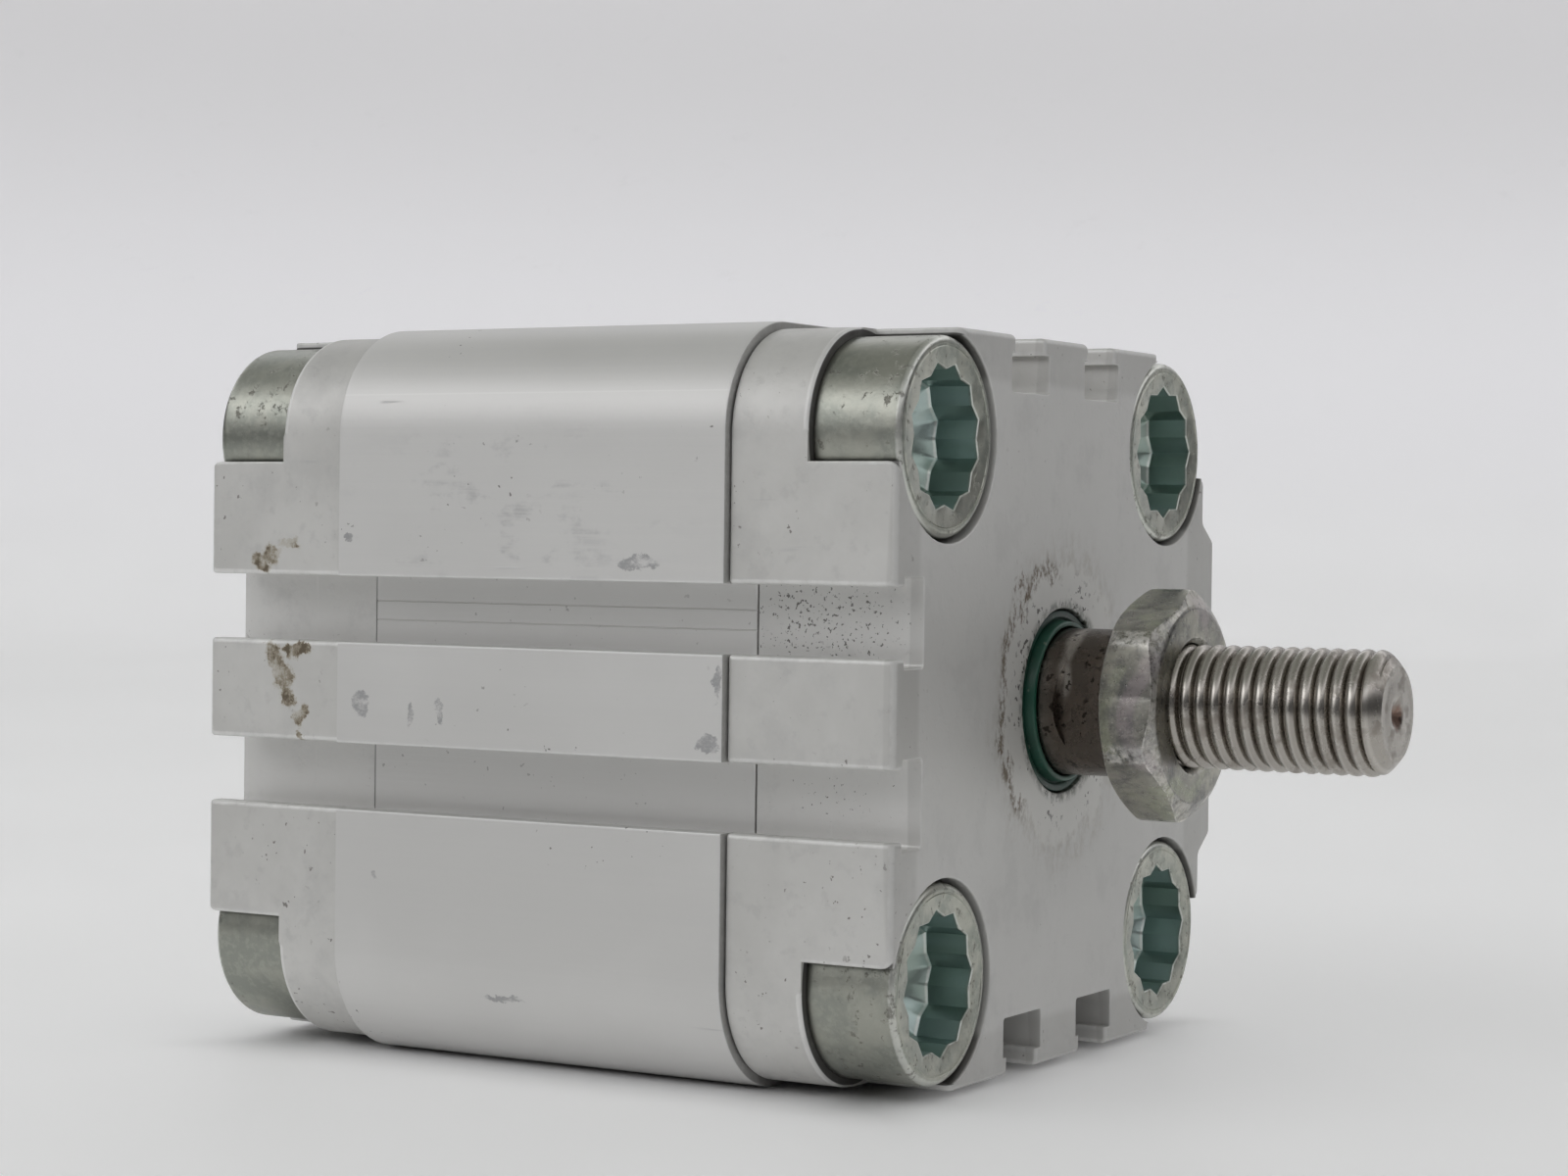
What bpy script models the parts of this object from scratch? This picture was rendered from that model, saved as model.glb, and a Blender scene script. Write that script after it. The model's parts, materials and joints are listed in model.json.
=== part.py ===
"""Compact double-acting pneumatic cylinder: 40 mm bore, 20 mm stroke, male rod thread.

The rod lies along +X and the cylinder is drawn fully retracted. The origin is the centre of the
rear cap's outer face, on the rod's axis. +Y is the side with the two air ports, and +Z is up.
Parts that slide hang from the empty slide_axis, and parts that also turn hang from spin_axis.
All sizes are in metres.
"""

import math

import bmesh
import bpy
from mathutils import Matrix, Vector

# Lengths along the rod's axis
REAR_CAP_LENGTH = 0.0140
BARREL_LENGTH = 0.0370
FRONT_CAP_LENGTH = 0.0145
BODY_LENGTH = REAR_CAP_LENGTH + BARREL_LENGTH + FRONT_CAP_LENGTH
STROKE = 0.0200
REAR_JOINT_GAP = 0.0001
FRONT_JOINT_GAP = 0.0001

# Cross-section of the body, a square with rounded corners and sensor slots on three sides
CAP_HALF = 0.02955
BARREL_RISE = 0.0006
BARREL_HALF = CAP_HALF + BARREL_RISE
SCREW_OFFSET = 0.0210
CORNER_STEPS = 6
SLOT_OFFSET = 0.00685
SLOT_THROAT = 0.0054
SLOT_WIDTH = 0.0069
SLOT_LIP = 0.00145
SLOT_DEPTH = 0.0046
SLOT_EDGE = 0.0004
PORT_PAD_RISE = 0.0024
PORT_PAD_HALF = 0.0133
PORT_PAD_FOOT = 0.0150

# Bore, cap spigots and the air ports
BORE_RADIUS = 0.0200
SPIGOT_RADIUS = 0.0196
SPIGOT_LENGTH = 0.0020
SEAL_SEAT_RADIUS = 0.0214
SEAL_SEAT_DEPTH = 0.0018
PORT_SETBACK = 0.0072
PORT_RADIUS = 0.0043
PORT_MOUTH_RADIUS = 0.0050
PORT_DEPTH = 0.0085
PORT_DRILL_RADIUS = 0.0025
PORT_DRILL_DEPTH = 0.0125
PASSAGE_RADIUS = 0.0013
PASSAGE_EXIT_RADIUS = 0.0148

# Corner screws and the open pockets that hold their heads
POCKET_DEPTH = 0.0077
POCKET_EDGE = 0.01895
COUNTERBORE_RADIUS = 0.0082
SCREW_HOLE_RADIUS = 0.0051
HEAD_RECESS = 0.00025
HEAD_RADIUS = 0.0078
HEAD_LENGTH = 0.00715
HEAD_EDGE = 0.0007
SHANK_RADIUS = 0.00475
SCREW_LENGTH = 0.0240
SCREW_BORE_RADIUS = 0.00255
SOCKET_ACROSS_FLATS = 0.0100
SOCKET_DEPTH = 0.0038
SOCKET_FLOOR_DEPTH = 0.0050
SOCKET_FLOOR_RADIUS = 0.0040
SOCKET_POINTS = 12
FRONT_SOCKET_TURNS = {"lower_left": 5, "lower_right": 3, "upper_right": 2, "upper_left": 15}
REAR_SOCKET_TURNS = {"lower_left": 8, "lower_right": 20, "upper_right": 11, "upper_left": 26}

# Rod, its thread and the parts that guide and seal it in the front cap
ROD_RADIUS = 0.0060
ROD_PROJECTION = 0.0066
THREAD_LENGTH = 0.0220
THREAD_CREST_RADIUS = 0.0050
THREAD_ROOT_RADIUS = 0.00425
THREAD_PITCH = 0.00125
THREAD_RELIEF = 0.0012
THREAD_CHAMFER = 0.0012
THREAD_BLANK_STAND = 0.0002
ROD_EDGE = 0.0003
NECK_RADIUS = 0.00415
FLATS_ACROSS = 0.0100
FLATS_SETBACK = 0.00475
FLATS_CUTTER_RADIUS = 0.0083
FLATS_CUTTER_HALF = 0.0065
RUNNING_GAP = 0.00012
BUSH_RADIUS = 0.0070
BUSH_LENGTH = 0.0080
BUSH_SETBACK = 0.0056
WIPER_RADIUS = 0.00745
WIPER_LENGTH = 0.0047
WIPER_LIP = 0.00055
WIPER_EDGE = 0.0004
WIPER_RECESS = 0.0002
WIPER_HEEL = 0.0006
SEAT_GAP = 0.00015

# Lock nut
NUT_ACROSS_FLATS = 0.0170
NUT_ACROSS_CORNERS = 0.0189
NUT_HEIGHT = 0.0050
NUT_FACE_RADIUS = 0.0079
NUT_CHAMFER_ANGLE = math.radians(30)
NUT_MOUTH = 0.0006
NUT_SEAT_GAP = 0.0001
NUT_TURN = math.radians(83.3)

# Piston
PISTON_RADIUS = 0.0194
PISTON_SPLIT = 0.0002
PISTON_CLEARANCE = 0.00015
RING_GROOVE_START = 0.0038
RING_GROOVE_RADIUS = 0.0152
MAGNET_RADII = (0.0154, 0.0178)
GUIDE_RADII = (0.0180, 0.0197)
SEAL_START = 0.0009
SEAL_WIDTH = 0.0021
SEAL_GROOVE_RADIUS = 0.0164
SEAL_OUTER_RADIUS = 0.0197
SEAL_LIP = 0.0006
SEAL_HEEL = 0.0007
RIM_CLEARANCE = 0.0002
ROD_TAIL_RADIUS = 0.0040
ROD_TAIL_START = 0.0023
ROD_SHOULDER = 0.0102
PISTON_SCREW_HEAD_RADIUS = 0.0055
PISTON_SCREW_HEAD = 0.0017
PISTON_SCREW_SHANK_RADIUS = 0.0023
PISTON_SCREW_LENGTH = 0.0080
PISTON_SCREW_KEY = 0.0040
PISTON_SCREW_KEY_DEPTH = 0.0012

# Cushion pads set into the spigots' end faces
PAD_RADII = (0.0088, 0.0124)
PAD_THICKNESS = 0.00135
PAD_STAND = 0.0006
PAD_SEAT_GAP = 0.00015

# The piston fills what the stroke leaves free between the two pads
FREE_LENGTH = BARREL_LENGTH - 2 * SPIGOT_LENGTH - 2 * PAD_STAND - 2 * PISTON_CLEARANCE
PISTON_LENGTH = FREE_LENGTH - STROKE
PISTON_REAR = REAR_CAP_LENGTH + SPIGOT_LENGTH + PAD_STAND + PISTON_CLEARANCE

# Roundness of turned surfaces
SEGMENTS = 32
HIDDEN_SEGMENTS = 24
BORE_SEGMENTS = 48
ROD_SEGMENTS = 40
HOLE_SEGMENTS = 20
THREAD_SEGMENTS = 20
SEAL_SECTION_STEPS = 6
FLAT_ARC_STEPS = 10

# How far a cutter runs past a face, and how far a shape to be joined reaches into its part
OVERCUT = 0.001
OVERLAP = 0.0005

# Colour, roughness and metallic value of each material
FINISHES = {
    "anodised_aluminium": ((0.52, 0.52, 0.53), 0.38, 0.9),
    "tumbled_aluminium": ((0.50, 0.50, 0.49), 0.48, 0.9),
    "zinc_plated_steel": ((0.46, 0.47, 0.40), 0.35, 1.0),
    "passivated_zinc_nut": ((0.38, 0.38, 0.32), 0.42, 1.0),
    "stainless_steel": ((0.42, 0.39, 0.36), 0.28, 1.0),
    "green_polyurethane": ((0.01, 0.11, 0.07), 0.35, 0.0),
    "sintered_bronze": ((0.45, 0.28, 0.12), 0.50, 0.8),
    "black_rubber": ((0.02, 0.02, 0.02), 0.65, 0.0),
    "bonded_magnet": ((0.05, 0.05, 0.055), 0.60, 0.0),
    "white_acetal": ((0.75, 0.73, 0.68), 0.45, 0.0),
}

CORNERS = {
    "lower_left": (-1, -1),
    "lower_right": (1, -1),
    "upper_right": (1, 1),
    "upper_left": (-1, 1),
}

materials = {}


def clear_scene():
    for item in list(bpy.data.objects):
        bpy.data.objects.remove(item, do_unlink=True)


def make_materials():
    for name, (colour, roughness, metallic) in FINISHES.items():
        material = bpy.data.materials.new(name)
        material.use_nodes = True
        shader = material.node_tree.nodes["Principled BSDF"]
        shader.inputs["Base Color"].default_value = (*colour, 1.0)
        shader.inputs["Roughness"].default_value = roughness
        shader.inputs["Metallic"].default_value = metallic
        materials[name] = material


def circle(x, radius, segments, centre=(0.0, 0.0)):
    """A loop of points around an axis parallel to X, through centre in Y and Z."""
    loop = []
    for step in range(segments):
        angle = 2 * math.pi * step / segments
        loop.append((x, centre[0] + radius * math.cos(angle), centre[1] + radius * math.sin(angle)))
    return loop


def skin(bm, loops, ring):
    """Joins neighbouring loops with quads. A ring joins its last loop to its first;
    otherwise the first and last loops are closed with flat faces."""
    rows = [[bm.verts.new(point) for point in loop] for loop in loops]
    pairs = list(zip(rows, rows[1:]))
    if ring:
        pairs.append((rows[-1], rows[0]))
    for first, second in pairs:
        count = len(first)
        for i in range(count):
            j = (i + 1) % count
            bm.faces.new((first[i], first[j], second[j], second[i]))
    if not ring:
        bm.faces.new(rows[0])
        bm.faces.new(rows[-1])


def mesh_from(name, build):
    """A mesh filled by build(bm), with its faces pointing out and its curved faces smooth."""
    bm = bmesh.new()
    build(bm)
    bmesh.ops.recalc_face_normals(bm, faces=bm.faces)
    mesh = bpy.data.meshes.new(name)
    bm.to_mesh(mesh)
    bm.free()
    mesh.shade_smooth()
    mesh.set_sharp_from_angle(angle=math.radians(32))
    return mesh


def turned(name, profile, segments=SEGMENTS, ring=True):
    """A mesh turned around the X axis from a profile of (x, radius) points."""
    loops = [circle(x, radius, segments) for x, radius in profile]
    return mesh_from(name, lambda bm: skin(bm, loops, ring))


def prism(name, outline, start, end):
    """A mesh with a (y, z) outline, running from x = start to x = end."""
    loops = [[(x, y, z) for y, z in outline] for x in (start, end)]
    return mesh_from(name, lambda bm: skin(bm, loops, ring=False))


def corner_prisms(name, outline_at, start, end):
    """One mesh with a prism at each corner; outline_at(y_side, z_side) gives its outline."""
    def build(bm):
        for y_side, z_side in CORNERS.values():
            outline = outline_at(y_side, z_side)
            skin(bm, [[(x, y, z) for y, z in outline] for x in (start, end)], ring=False)
    return mesh_from(name, build)


def place(name, mesh, finish, x=0.0, parent=None):
    """Adds a mesh to the scene as a named part, at x on the rod's axis."""
    part = bpy.data.objects.new(name, mesh)
    part.location = (x, 0.0, 0.0)
    part.parent = parent
    if not mesh.materials:
        mesh.materials.append(materials[finish])
    bpy.context.scene.collection.objects.link(part)
    return part


def helper(name, mesh, x=0.0):
    """Adds a shape that only cuts or adds to a part, and isn't one itself."""
    item = bpy.data.objects.new(name, mesh)
    item.location = (x, 0.0, 0.0)
    item.hide_render = True
    item.display_type = "WIRE"
    bpy.context.scene.collection.objects.link(item)
    return item


def combine(part, operation, tool):
    modifier = part.modifiers.new(tool.name, "BOOLEAN")
    modifier.operation = operation
    modifier.solver = "EXACT"
    modifier.object = tool


def cut(part, name, mesh, x=0.0):
    """Takes a shape away from a part."""
    combine(part, "DIFFERENCE", helper(name, mesh, x))


def slot_points(centre, half):
    """The T-slot's outline on a side whose face is half away from the axis, as (along, out)."""
    throat = SLOT_THROAT / 2
    width = SLOT_WIDTH / 2
    lip = CAP_HALF - SLOT_LIP
    floor = CAP_HALF - SLOT_DEPTH
    left = [
        (-throat - SLOT_EDGE, half),
        (-throat, half - SLOT_EDGE),
        (-throat, lip),
        (-width, lip),
        (-width, floor),
    ]
    right = [(-along, out) for along, out in reversed(left)]
    return [(centre + along, out) for along, out in left + right]


def pad_points(half):
    """The outline of the raised strip that carries the air ports, as (along, out)."""
    top = CAP_HALF + PORT_PAD_RISE
    return [
        (-PORT_PAD_FOOT, half),
        (-PORT_PAD_HALF, top),
        (PORT_PAD_HALF, top),
        (PORT_PAD_FOOT, half),
    ]


def body_outline(half):
    """The body's (y, z) outline, anticlockwise from the lower left corner."""
    slotted = slot_points(-SLOT_OFFSET, half) + slot_points(SLOT_OFFSET, half)
    sides = [slotted, pad_points(half), slotted, slotted]
    radius = half - SCREW_OFFSET
    outline = []
    for number, side in enumerate(sides):
        turn = Matrix.Rotation(number * math.pi / 2, 2)
        points = [(along, -out) for along, out in side]
        for step in range(CORNER_STEPS + 1):
            angle = math.radians(-90 + 90 * step / CORNER_STEPS)
            points.append((SCREW_OFFSET + radius * math.cos(angle), -SCREW_OFFSET + radius * math.sin(angle)))
        outline.extend(tuple(turn @ Vector(point)) for point in points)
    return outline


def hole_outline(radius):
    """Gives the outline of a round hole on the screw's axis at one corner."""
    def outline_at(y_side, z_side):
        centre = (y_side * SCREW_OFFSET, z_side * SCREW_OFFSET)
        return [(y, z) for _, y, z in circle(0.0, radius, HOLE_SEGMENTS, centre)]
    return outline_at


def pocket_outline(y_side, z_side):
    """The square that opens a corner of the cap beside the screw's head."""
    outer = CAP_HALF + HEAD_RADIUS
    near_y, far_y = y_side * POCKET_EDGE, y_side * outer
    near_z, far_z = z_side * POCKET_EDGE, z_side * outer
    return [(near_y, near_z), (far_y, near_z), (far_y, far_z), (near_y, far_z)]


def make_barrel():
    start = REAR_CAP_LENGTH + REAR_JOINT_GAP
    length = BARREL_LENGTH - REAR_JOINT_GAP - FRONT_JOINT_GAP
    barrel = place("barrel", prism("barrel", body_outline(BARREL_HALF), 0.0, length),
                   "anodised_aluminium", start)
    seat = SEAL_SEAT_DEPTH
    bore_profile = [
        (-OVERCUT, SEAL_SEAT_RADIUS),
        (seat, SEAL_SEAT_RADIUS),
        (seat, BORE_RADIUS),
        (length - seat, BORE_RADIUS),
        (length - seat, SEAL_SEAT_RADIUS),
        (length + OVERCUT, SEAL_SEAT_RADIUS),
    ]
    cut(barrel, "cut_barrel_bore", turned("bore", bore_profile, BORE_SEGMENTS, ring=False), start)
    holes = corner_prisms("corner_bores", hole_outline(SCREW_HOLE_RADIUS), -OVERCUT, length + OVERCUT)
    cut(barrel, "cut_barrel_corner_bores", holes, start)


def port_cutter(name, x):
    """A threaded port's drilled outline, on an axis along Y at x."""
    top = CAP_HALF + PORT_PAD_RISE
    mouth = PORT_MOUTH_RADIUS - PORT_RADIUS
    profile = [
        (top + mouth, PORT_MOUTH_RADIUS + mouth),
        (top - mouth, PORT_RADIUS),
        (top - PORT_DEPTH, PORT_RADIUS),
        (top - PORT_DEPTH, PORT_DRILL_RADIUS),
        (top - PORT_DRILL_DEPTH, PORT_DRILL_RADIUS),
    ]
    mesh = turned(name, profile, HOLE_SEGMENTS, ring=False)
    mesh.transform(Matrix.Rotation(math.pi / 2, 4, "Z"))
    return helper(name, mesh, x)


def passage_cutter(name, start, end):
    """A slanted drilling between two points."""
    way = Vector(end) - Vector(start)
    mesh = turned(name, [(0.0, PASSAGE_RADIUS), (way.length, PASSAGE_RADIUS)], HOLE_SEGMENTS, ring=False)
    mesh.transform(Matrix.Translation(start) @ way.to_track_quat("X", "Z").to_matrix().to_4x4())
    return helper(name, mesh)


def make_cap(name, face, inward, length):
    """An end cap whose outer face is at x = face, and whose body runs inward from it."""
    def x_at(depth):
        return face + inward * depth

    cap = place(name, prism(name, body_outline(CAP_HALF), x_at(0.0), x_at(length)), "tumbled_aluminium")
    spigot = [(x_at(length - OVERLAP), SPIGOT_RADIUS), (x_at(length + SPIGOT_LENGTH), SPIGOT_RADIUS)]
    combine(cap, "UNION", helper(name + "_spigot", turned("spigot", spigot, BORE_SEGMENTS, ring=False)))

    mouth, floor = x_at(-OVERCUT), x_at(POCKET_DEPTH)
    cut(cap, name + "_pockets", corner_prisms("pockets", pocket_outline, mouth, floor))
    counterbore = hole_outline(COUNTERBORE_RADIUS)
    cut(cap, name + "_counterbores", corner_prisms("counterbores", counterbore, mouth, floor))
    hole = hole_outline(SCREW_HOLE_RADIUS)
    holes = corner_prisms("holes", hole, x_at(POCKET_DEPTH - OVERLAP), x_at(length + OVERCUT))
    cut(cap, name + "_screw_holes", holes)

    inner = length + SPIGOT_LENGTH
    cut(cap, name + "_pad_seat", pad_seat(x_at, inner))
    combine(cap, "DIFFERENCE", port_cutter(name + "_port", x_at(PORT_SETBACK)))
    port_bottom = CAP_HALF + PORT_PAD_RISE - PORT_DRILL_DEPTH + OVERLAP
    start = (x_at(PORT_SETBACK), port_bottom, 0.0)
    end = (x_at(inner + OVERLAP), PASSAGE_EXIT_RADIUS - OVERLAP, 0.0)
    combine(cap, "DIFFERENCE", passage_cutter(name + "_passage", start, end))
    return cap


def pad_seat(x_at, inner):
    """The ring that a cushion pad's seat takes out of a spigot's end, inner deep in the cap."""
    seat_depth = PAD_THICKNESS - PAD_STAND + PAD_SEAT_GAP
    inside, outside = PAD_RADII[0] - PAD_SEAT_GAP, PAD_RADII[1] + PAD_SEAT_GAP
    seat = [
        (x_at(inner - seat_depth), inside),
        (x_at(inner - seat_depth), outside),
        (x_at(inner + OVERCUT), outside),
        (x_at(inner + OVERCUT), inside),
    ]
    return turned("pad_seat", seat)


def make_caps():
    make_cap("rear_cap", 0.0, 1, REAR_CAP_LENGTH)
    front = make_cap("front_cap", BODY_LENGTH, -1, FRONT_CAP_LENGTH)
    bush_bore = BUSH_RADIUS + SEAT_GAP
    wiper_bore = WIPER_RADIUS + SEAT_GAP
    step = BODY_LENGTH - WIPER_LENGTH - SEAT_GAP
    profile = [
        (BODY_LENGTH - FRONT_CAP_LENGTH - SPIGOT_LENGTH - OVERCUT, bush_bore),
        (step, bush_bore),
        (step, wiper_bore),
        (BODY_LENGTH + OVERCUT, wiper_bore),
    ]
    cut(front, "front_cap_rod_bore", turned("rod_bore", profile, ROD_SEGMENTS, ring=False))


def socket_loop(x, turn=0.0):
    """The outline of a twelve-point socket, two hexagons a twelfth of a turn apart."""
    corner = SOCKET_ACROSS_FLATS / 2 / math.cos(math.pi / 6)
    notch = SOCKET_ACROSS_FLATS / 2 / math.cos(math.pi / SOCKET_POINTS)
    loop = []
    for step in range(2 * SOCKET_POINTS):
        angle = turn + math.pi * step / SOCKET_POINTS
        radius = notch if step % 2 else corner
        loop.append((x, radius * math.cos(angle), radius * math.sin(angle)))
    return loop


def collar_screw_mesh():
    """A hollow collar screw. Its head's face is at x = 0 and its shank runs towards -X."""
    count = 2 * SOCKET_POINTS
    outside = [(0.0, HEAD_RADIUS - HEAD_EDGE), (-HEAD_EDGE, HEAD_RADIUS), (-HEAD_LENGTH, HEAD_RADIUS),
               (-HEAD_LENGTH, SHANK_RADIUS), (-SCREW_LENGTH, SHANK_RADIUS)]
    inside = [(-SCREW_LENGTH, SCREW_BORE_RADIUS), (-SOCKET_FLOOR_DEPTH, SCREW_BORE_RADIUS),
              (-SOCKET_FLOOR_DEPTH, SOCKET_FLOOR_RADIUS)]
    loops = [circle(x, radius, count) for x, radius in outside + inside]
    loops.append(socket_loop(-SOCKET_DEPTH))
    loops.append(socket_loop(0.0))
    return mesh_from("collar_screw", lambda bm: skin(bm, loops, ring=True))


def make_corner_screws():
    mesh = collar_screw_mesh()
    ends = {
        "front": (BODY_LENGTH - HEAD_RECESS, 0.0, FRONT_SOCKET_TURNS),
        "rear": (HEAD_RECESS, math.pi, REAR_SOCKET_TURNS),
    }
    for end, (x, heading, turns) in ends.items():
        for corner, (y_side, z_side) in CORNERS.items():
            screw = place(f"{end}_screw_{corner}", mesh, "zinc_plated_steel")
            screw.location = (x, y_side * SCREW_OFFSET, z_side * SCREW_OFFSET)
            screw.rotation_euler = (math.radians(turns[corner]), 0.0, heading)


def make_cap_seals():
    """The two rubber rings that seal the barrel's ends, in the corners around the spigots."""
    section = (SEAL_SEAT_RADIUS - SPIGOT_RADIUS) / 2 - PISTON_CLEARANCE
    middle = (SEAL_SEAT_RADIUS + SPIGOT_RADIUS) / 2
    profile = []
    for step in range(SEAL_SECTION_STEPS):
        angle = 2 * math.pi * step / SEAL_SECTION_STEPS
        profile.append((section * math.cos(angle), middle + section * math.sin(angle)))
    mesh = turned("cap_seal", profile)
    offset = SEAL_SEAT_DEPTH / 2
    place("rear_cap_seal", mesh, "black_rubber", REAR_CAP_LENGTH + offset)
    place("front_cap_seal", mesh, "black_rubber", REAR_CAP_LENGTH + BARREL_LENGTH - offset)


def make_cushion_pads():
    inside, outside = PAD_RADII
    profile = [(0.0, inside), (0.0, outside), (PAD_THICKNESS, outside), (PAD_THICKNESS, inside)]
    mesh = turned("cushion_pad", profile, HIDDEN_SEGMENTS)
    rear_face = REAR_CAP_LENGTH + SPIGOT_LENGTH
    front_face = REAR_CAP_LENGTH + BARREL_LENGTH - SPIGOT_LENGTH
    place("rear_cushion_pad", mesh, "black_rubber", rear_face + PAD_STAND - PAD_THICKNESS)
    place("front_cushion_pad", mesh, "black_rubber", front_face - PAD_STAND)


def make_rod_guides():
    """The plain bush that guides the rod, and the wiper seal around it at the cap's face."""
    inner = ROD_RADIUS + RUNNING_GAP
    bush = [(0.0, inner), (0.0, BUSH_RADIUS), (BUSH_LENGTH, BUSH_RADIUS), (BUSH_LENGTH, inner)]
    place("rod_bush", turned("rod_bush", bush, ROD_SEGMENTS), "sintered_bronze",
          BODY_LENGTH - BUSH_SETBACK - BUSH_LENGTH)
    heel = inner + WIPER_RECESS
    wiper = [
        (-WIPER_LENGTH, heel),
        (-WIPER_LENGTH, WIPER_RADIUS),
        (-WIPER_RECESS, WIPER_RADIUS),
        (-WIPER_RECESS, WIPER_RADIUS - WIPER_EDGE),
        (WIPER_LIP, inner + WIPER_EDGE),
        (WIPER_LIP, inner),
        (-WIPER_HEEL, heel),
    ]
    place("rod_wiper_seal", turned("rod_wiper_seal", wiper, ROD_SEGMENTS), "green_polyurethane", BODY_LENGTH)


def thread_mesh(turns):
    """A right-hand V thread along +X, with ragged ends that a blank later trims."""
    count = THREAD_SEGMENTS
    last = 2 * turns

    def point(row, column):
        x = THREAD_PITCH * (row / 2 + column / count)
        radius = THREAD_ROOT_RADIUS if row % 2 else THREAD_CREST_RADIUS
        angle = 2 * math.pi * column / count
        return (x, radius * math.cos(angle), radius * math.sin(angle))

    def build(bm):
        grid = [[bm.verts.new(point(row, column)) for column in range(count)] for row in range(last + 1)]
        for row in range(last):
            for column in range(count - 1):
                bm.faces.new((grid[row][column], grid[row][column + 1],
                              grid[row + 1][column + 1], grid[row + 1][column]))
            if row + 3 <= last:
                bm.faces.new((grid[row][-1], grid[row + 2][0], grid[row + 3][0], grid[row + 1][-1]))
        start_rim = grid[0] + [grid[2][0], grid[1][0]]
        end_rim = grid[last] + [grid[last - 1][-1], grid[last - 2][-1]]
        for rim, x in ((start_rim, 0.0), (end_rim, THREAD_PITCH * (turns + 1))):
            centre = bm.verts.new((x, 0.0, 0.0))
            for i, vertex in enumerate(rim):
                bm.faces.new((vertex, rim[(i + 1) % len(rim)], centre))

    return mesh_from("thread", build)


def thread_blank(length):
    """The chamfered round bar that the thread is trimmed to."""
    radius = THREAD_CREST_RADIUS + THREAD_BLANK_STAND
    profile = [
        (0.0, THREAD_ROOT_RADIUS),
        (radius - THREAD_ROOT_RADIUS, radius),
        (length - THREAD_CHAMFER - THREAD_BLANK_STAND, radius),
        (length, THREAD_CREST_RADIUS - THREAD_CHAMFER),
    ]
    return turned("thread_blank", profile, THREAD_SEGMENTS, ring=False)


def flat_cutter(side):
    """Mills one wrench flat. The flat's inner end is an arc, as a round cutter leaves it."""
    start = BODY_LENGTH + ROD_PROJECTION - FLATS_SETBACK
    end = BODY_LENGTH + ROD_PROJECTION + THREAD_RELIEF / 2
    half = FLATS_CUTTER_HALF
    outline = []
    for step in range(FLAT_ARC_STEPS + 1):
        z = half * (2 * step / FLAT_ARC_STEPS - 1)
        x = start + FLATS_CUTTER_RADIUS - math.sqrt(FLATS_CUTTER_RADIUS ** 2 - z ** 2)
        outline.append((x, z))
    outline += [(end, half), (end, -half)]
    levels = (side * FLATS_ACROSS / 2, side * (ROD_RADIUS + OVERCUT))
    loops = [[(x, y, z) for x, z in outline] for y in levels]
    return mesh_from("flat_cutter", lambda bm: skin(bm, loops, ring=False))


def make_rod(parent):
    tail = PISTON_REAR + ROD_TAIL_START
    shoulder = PISTON_REAR + ROD_SHOULDER
    front = BODY_LENGTH + ROD_PROJECTION
    thread_start = front + THREAD_RELIEF
    hole_end = tail + PISTON_SCREW_LENGTH
    hole_radius = PISTON_SCREW_SHANK_RADIUS + 2 * PISTON_CLEARANCE
    profile = [
        (hole_end, hole_radius),
        (tail, hole_radius),
        (tail, ROD_TAIL_RADIUS),
        (shoulder, ROD_TAIL_RADIUS),
        (shoulder, ROD_RADIUS),
        (front - ROD_EDGE, ROD_RADIUS),
        (front, ROD_RADIUS - ROD_EDGE),
        (front, NECK_RADIUS),
        (thread_start + OVERCUT, NECK_RADIUS),
    ]
    rod = place("piston_rod", turned("piston_rod", profile, ROD_SEGMENTS, ring=False),
                "stainless_steel", parent=parent)
    length = THREAD_LENGTH - THREAD_RELIEF
    turns = math.ceil(length / THREAD_PITCH) + 1
    thread = helper("thread", thread_mesh(turns), thread_start - THREAD_PITCH)
    combine(thread, "INTERSECT", helper("thread_blank", thread_blank(length), thread_start))
    combine(rod, "UNION", thread)
    for name, side in (("near", -1), ("far", 1)):
        cut(rod, f"cut_{name}_flat", flat_cutter(side))


def make_lock_nut(parent):
    sharp_corner = NUT_ACROSS_FLATS / 2 / math.cos(math.pi / 6)
    corner = NUT_ACROSS_CORNERS / 2
    rise = (corner - NUT_FACE_RADIUS) * math.tan(NUT_CHAMFER_ANGLE)
    hexagon = []
    for step in range(6):
        angle = NUT_TURN + math.pi * step / 3
        hexagon.append((sharp_corner * math.cos(angle), sharp_corner * math.sin(angle)))
    x = BODY_LENGTH + ROD_PROJECTION + NUT_SEAT_GAP
    nut = place("lock_nut", prism("lock_nut", hexagon, 0.0, NUT_HEIGHT), "passivated_zinc_nut", x, parent)
    blank = [
        (0.0, NUT_FACE_RADIUS),
        (rise, corner),
        (NUT_HEIGHT - rise, corner),
        (NUT_HEIGHT, NUT_FACE_RADIUS),
    ]
    combine(nut, "INTERSECT", helper("nut_blank", turned("nut_blank", blank, ROD_SEGMENTS, ring=False), x))
    hole = THREAD_CREST_RADIUS + RUNNING_GAP
    wide = hole + 2 * NUT_MOUTH
    bore = [
        (-NUT_MOUTH, wide),
        (NUT_MOUTH, hole),
        (NUT_HEIGHT - NUT_MOUTH, hole),
        (NUT_HEIGHT + NUT_MOUTH, wide),
    ]
    cut(nut, "nut_bore", turned("nut_bore", bore, THREAD_SEGMENTS, ring=False), x)


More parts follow.
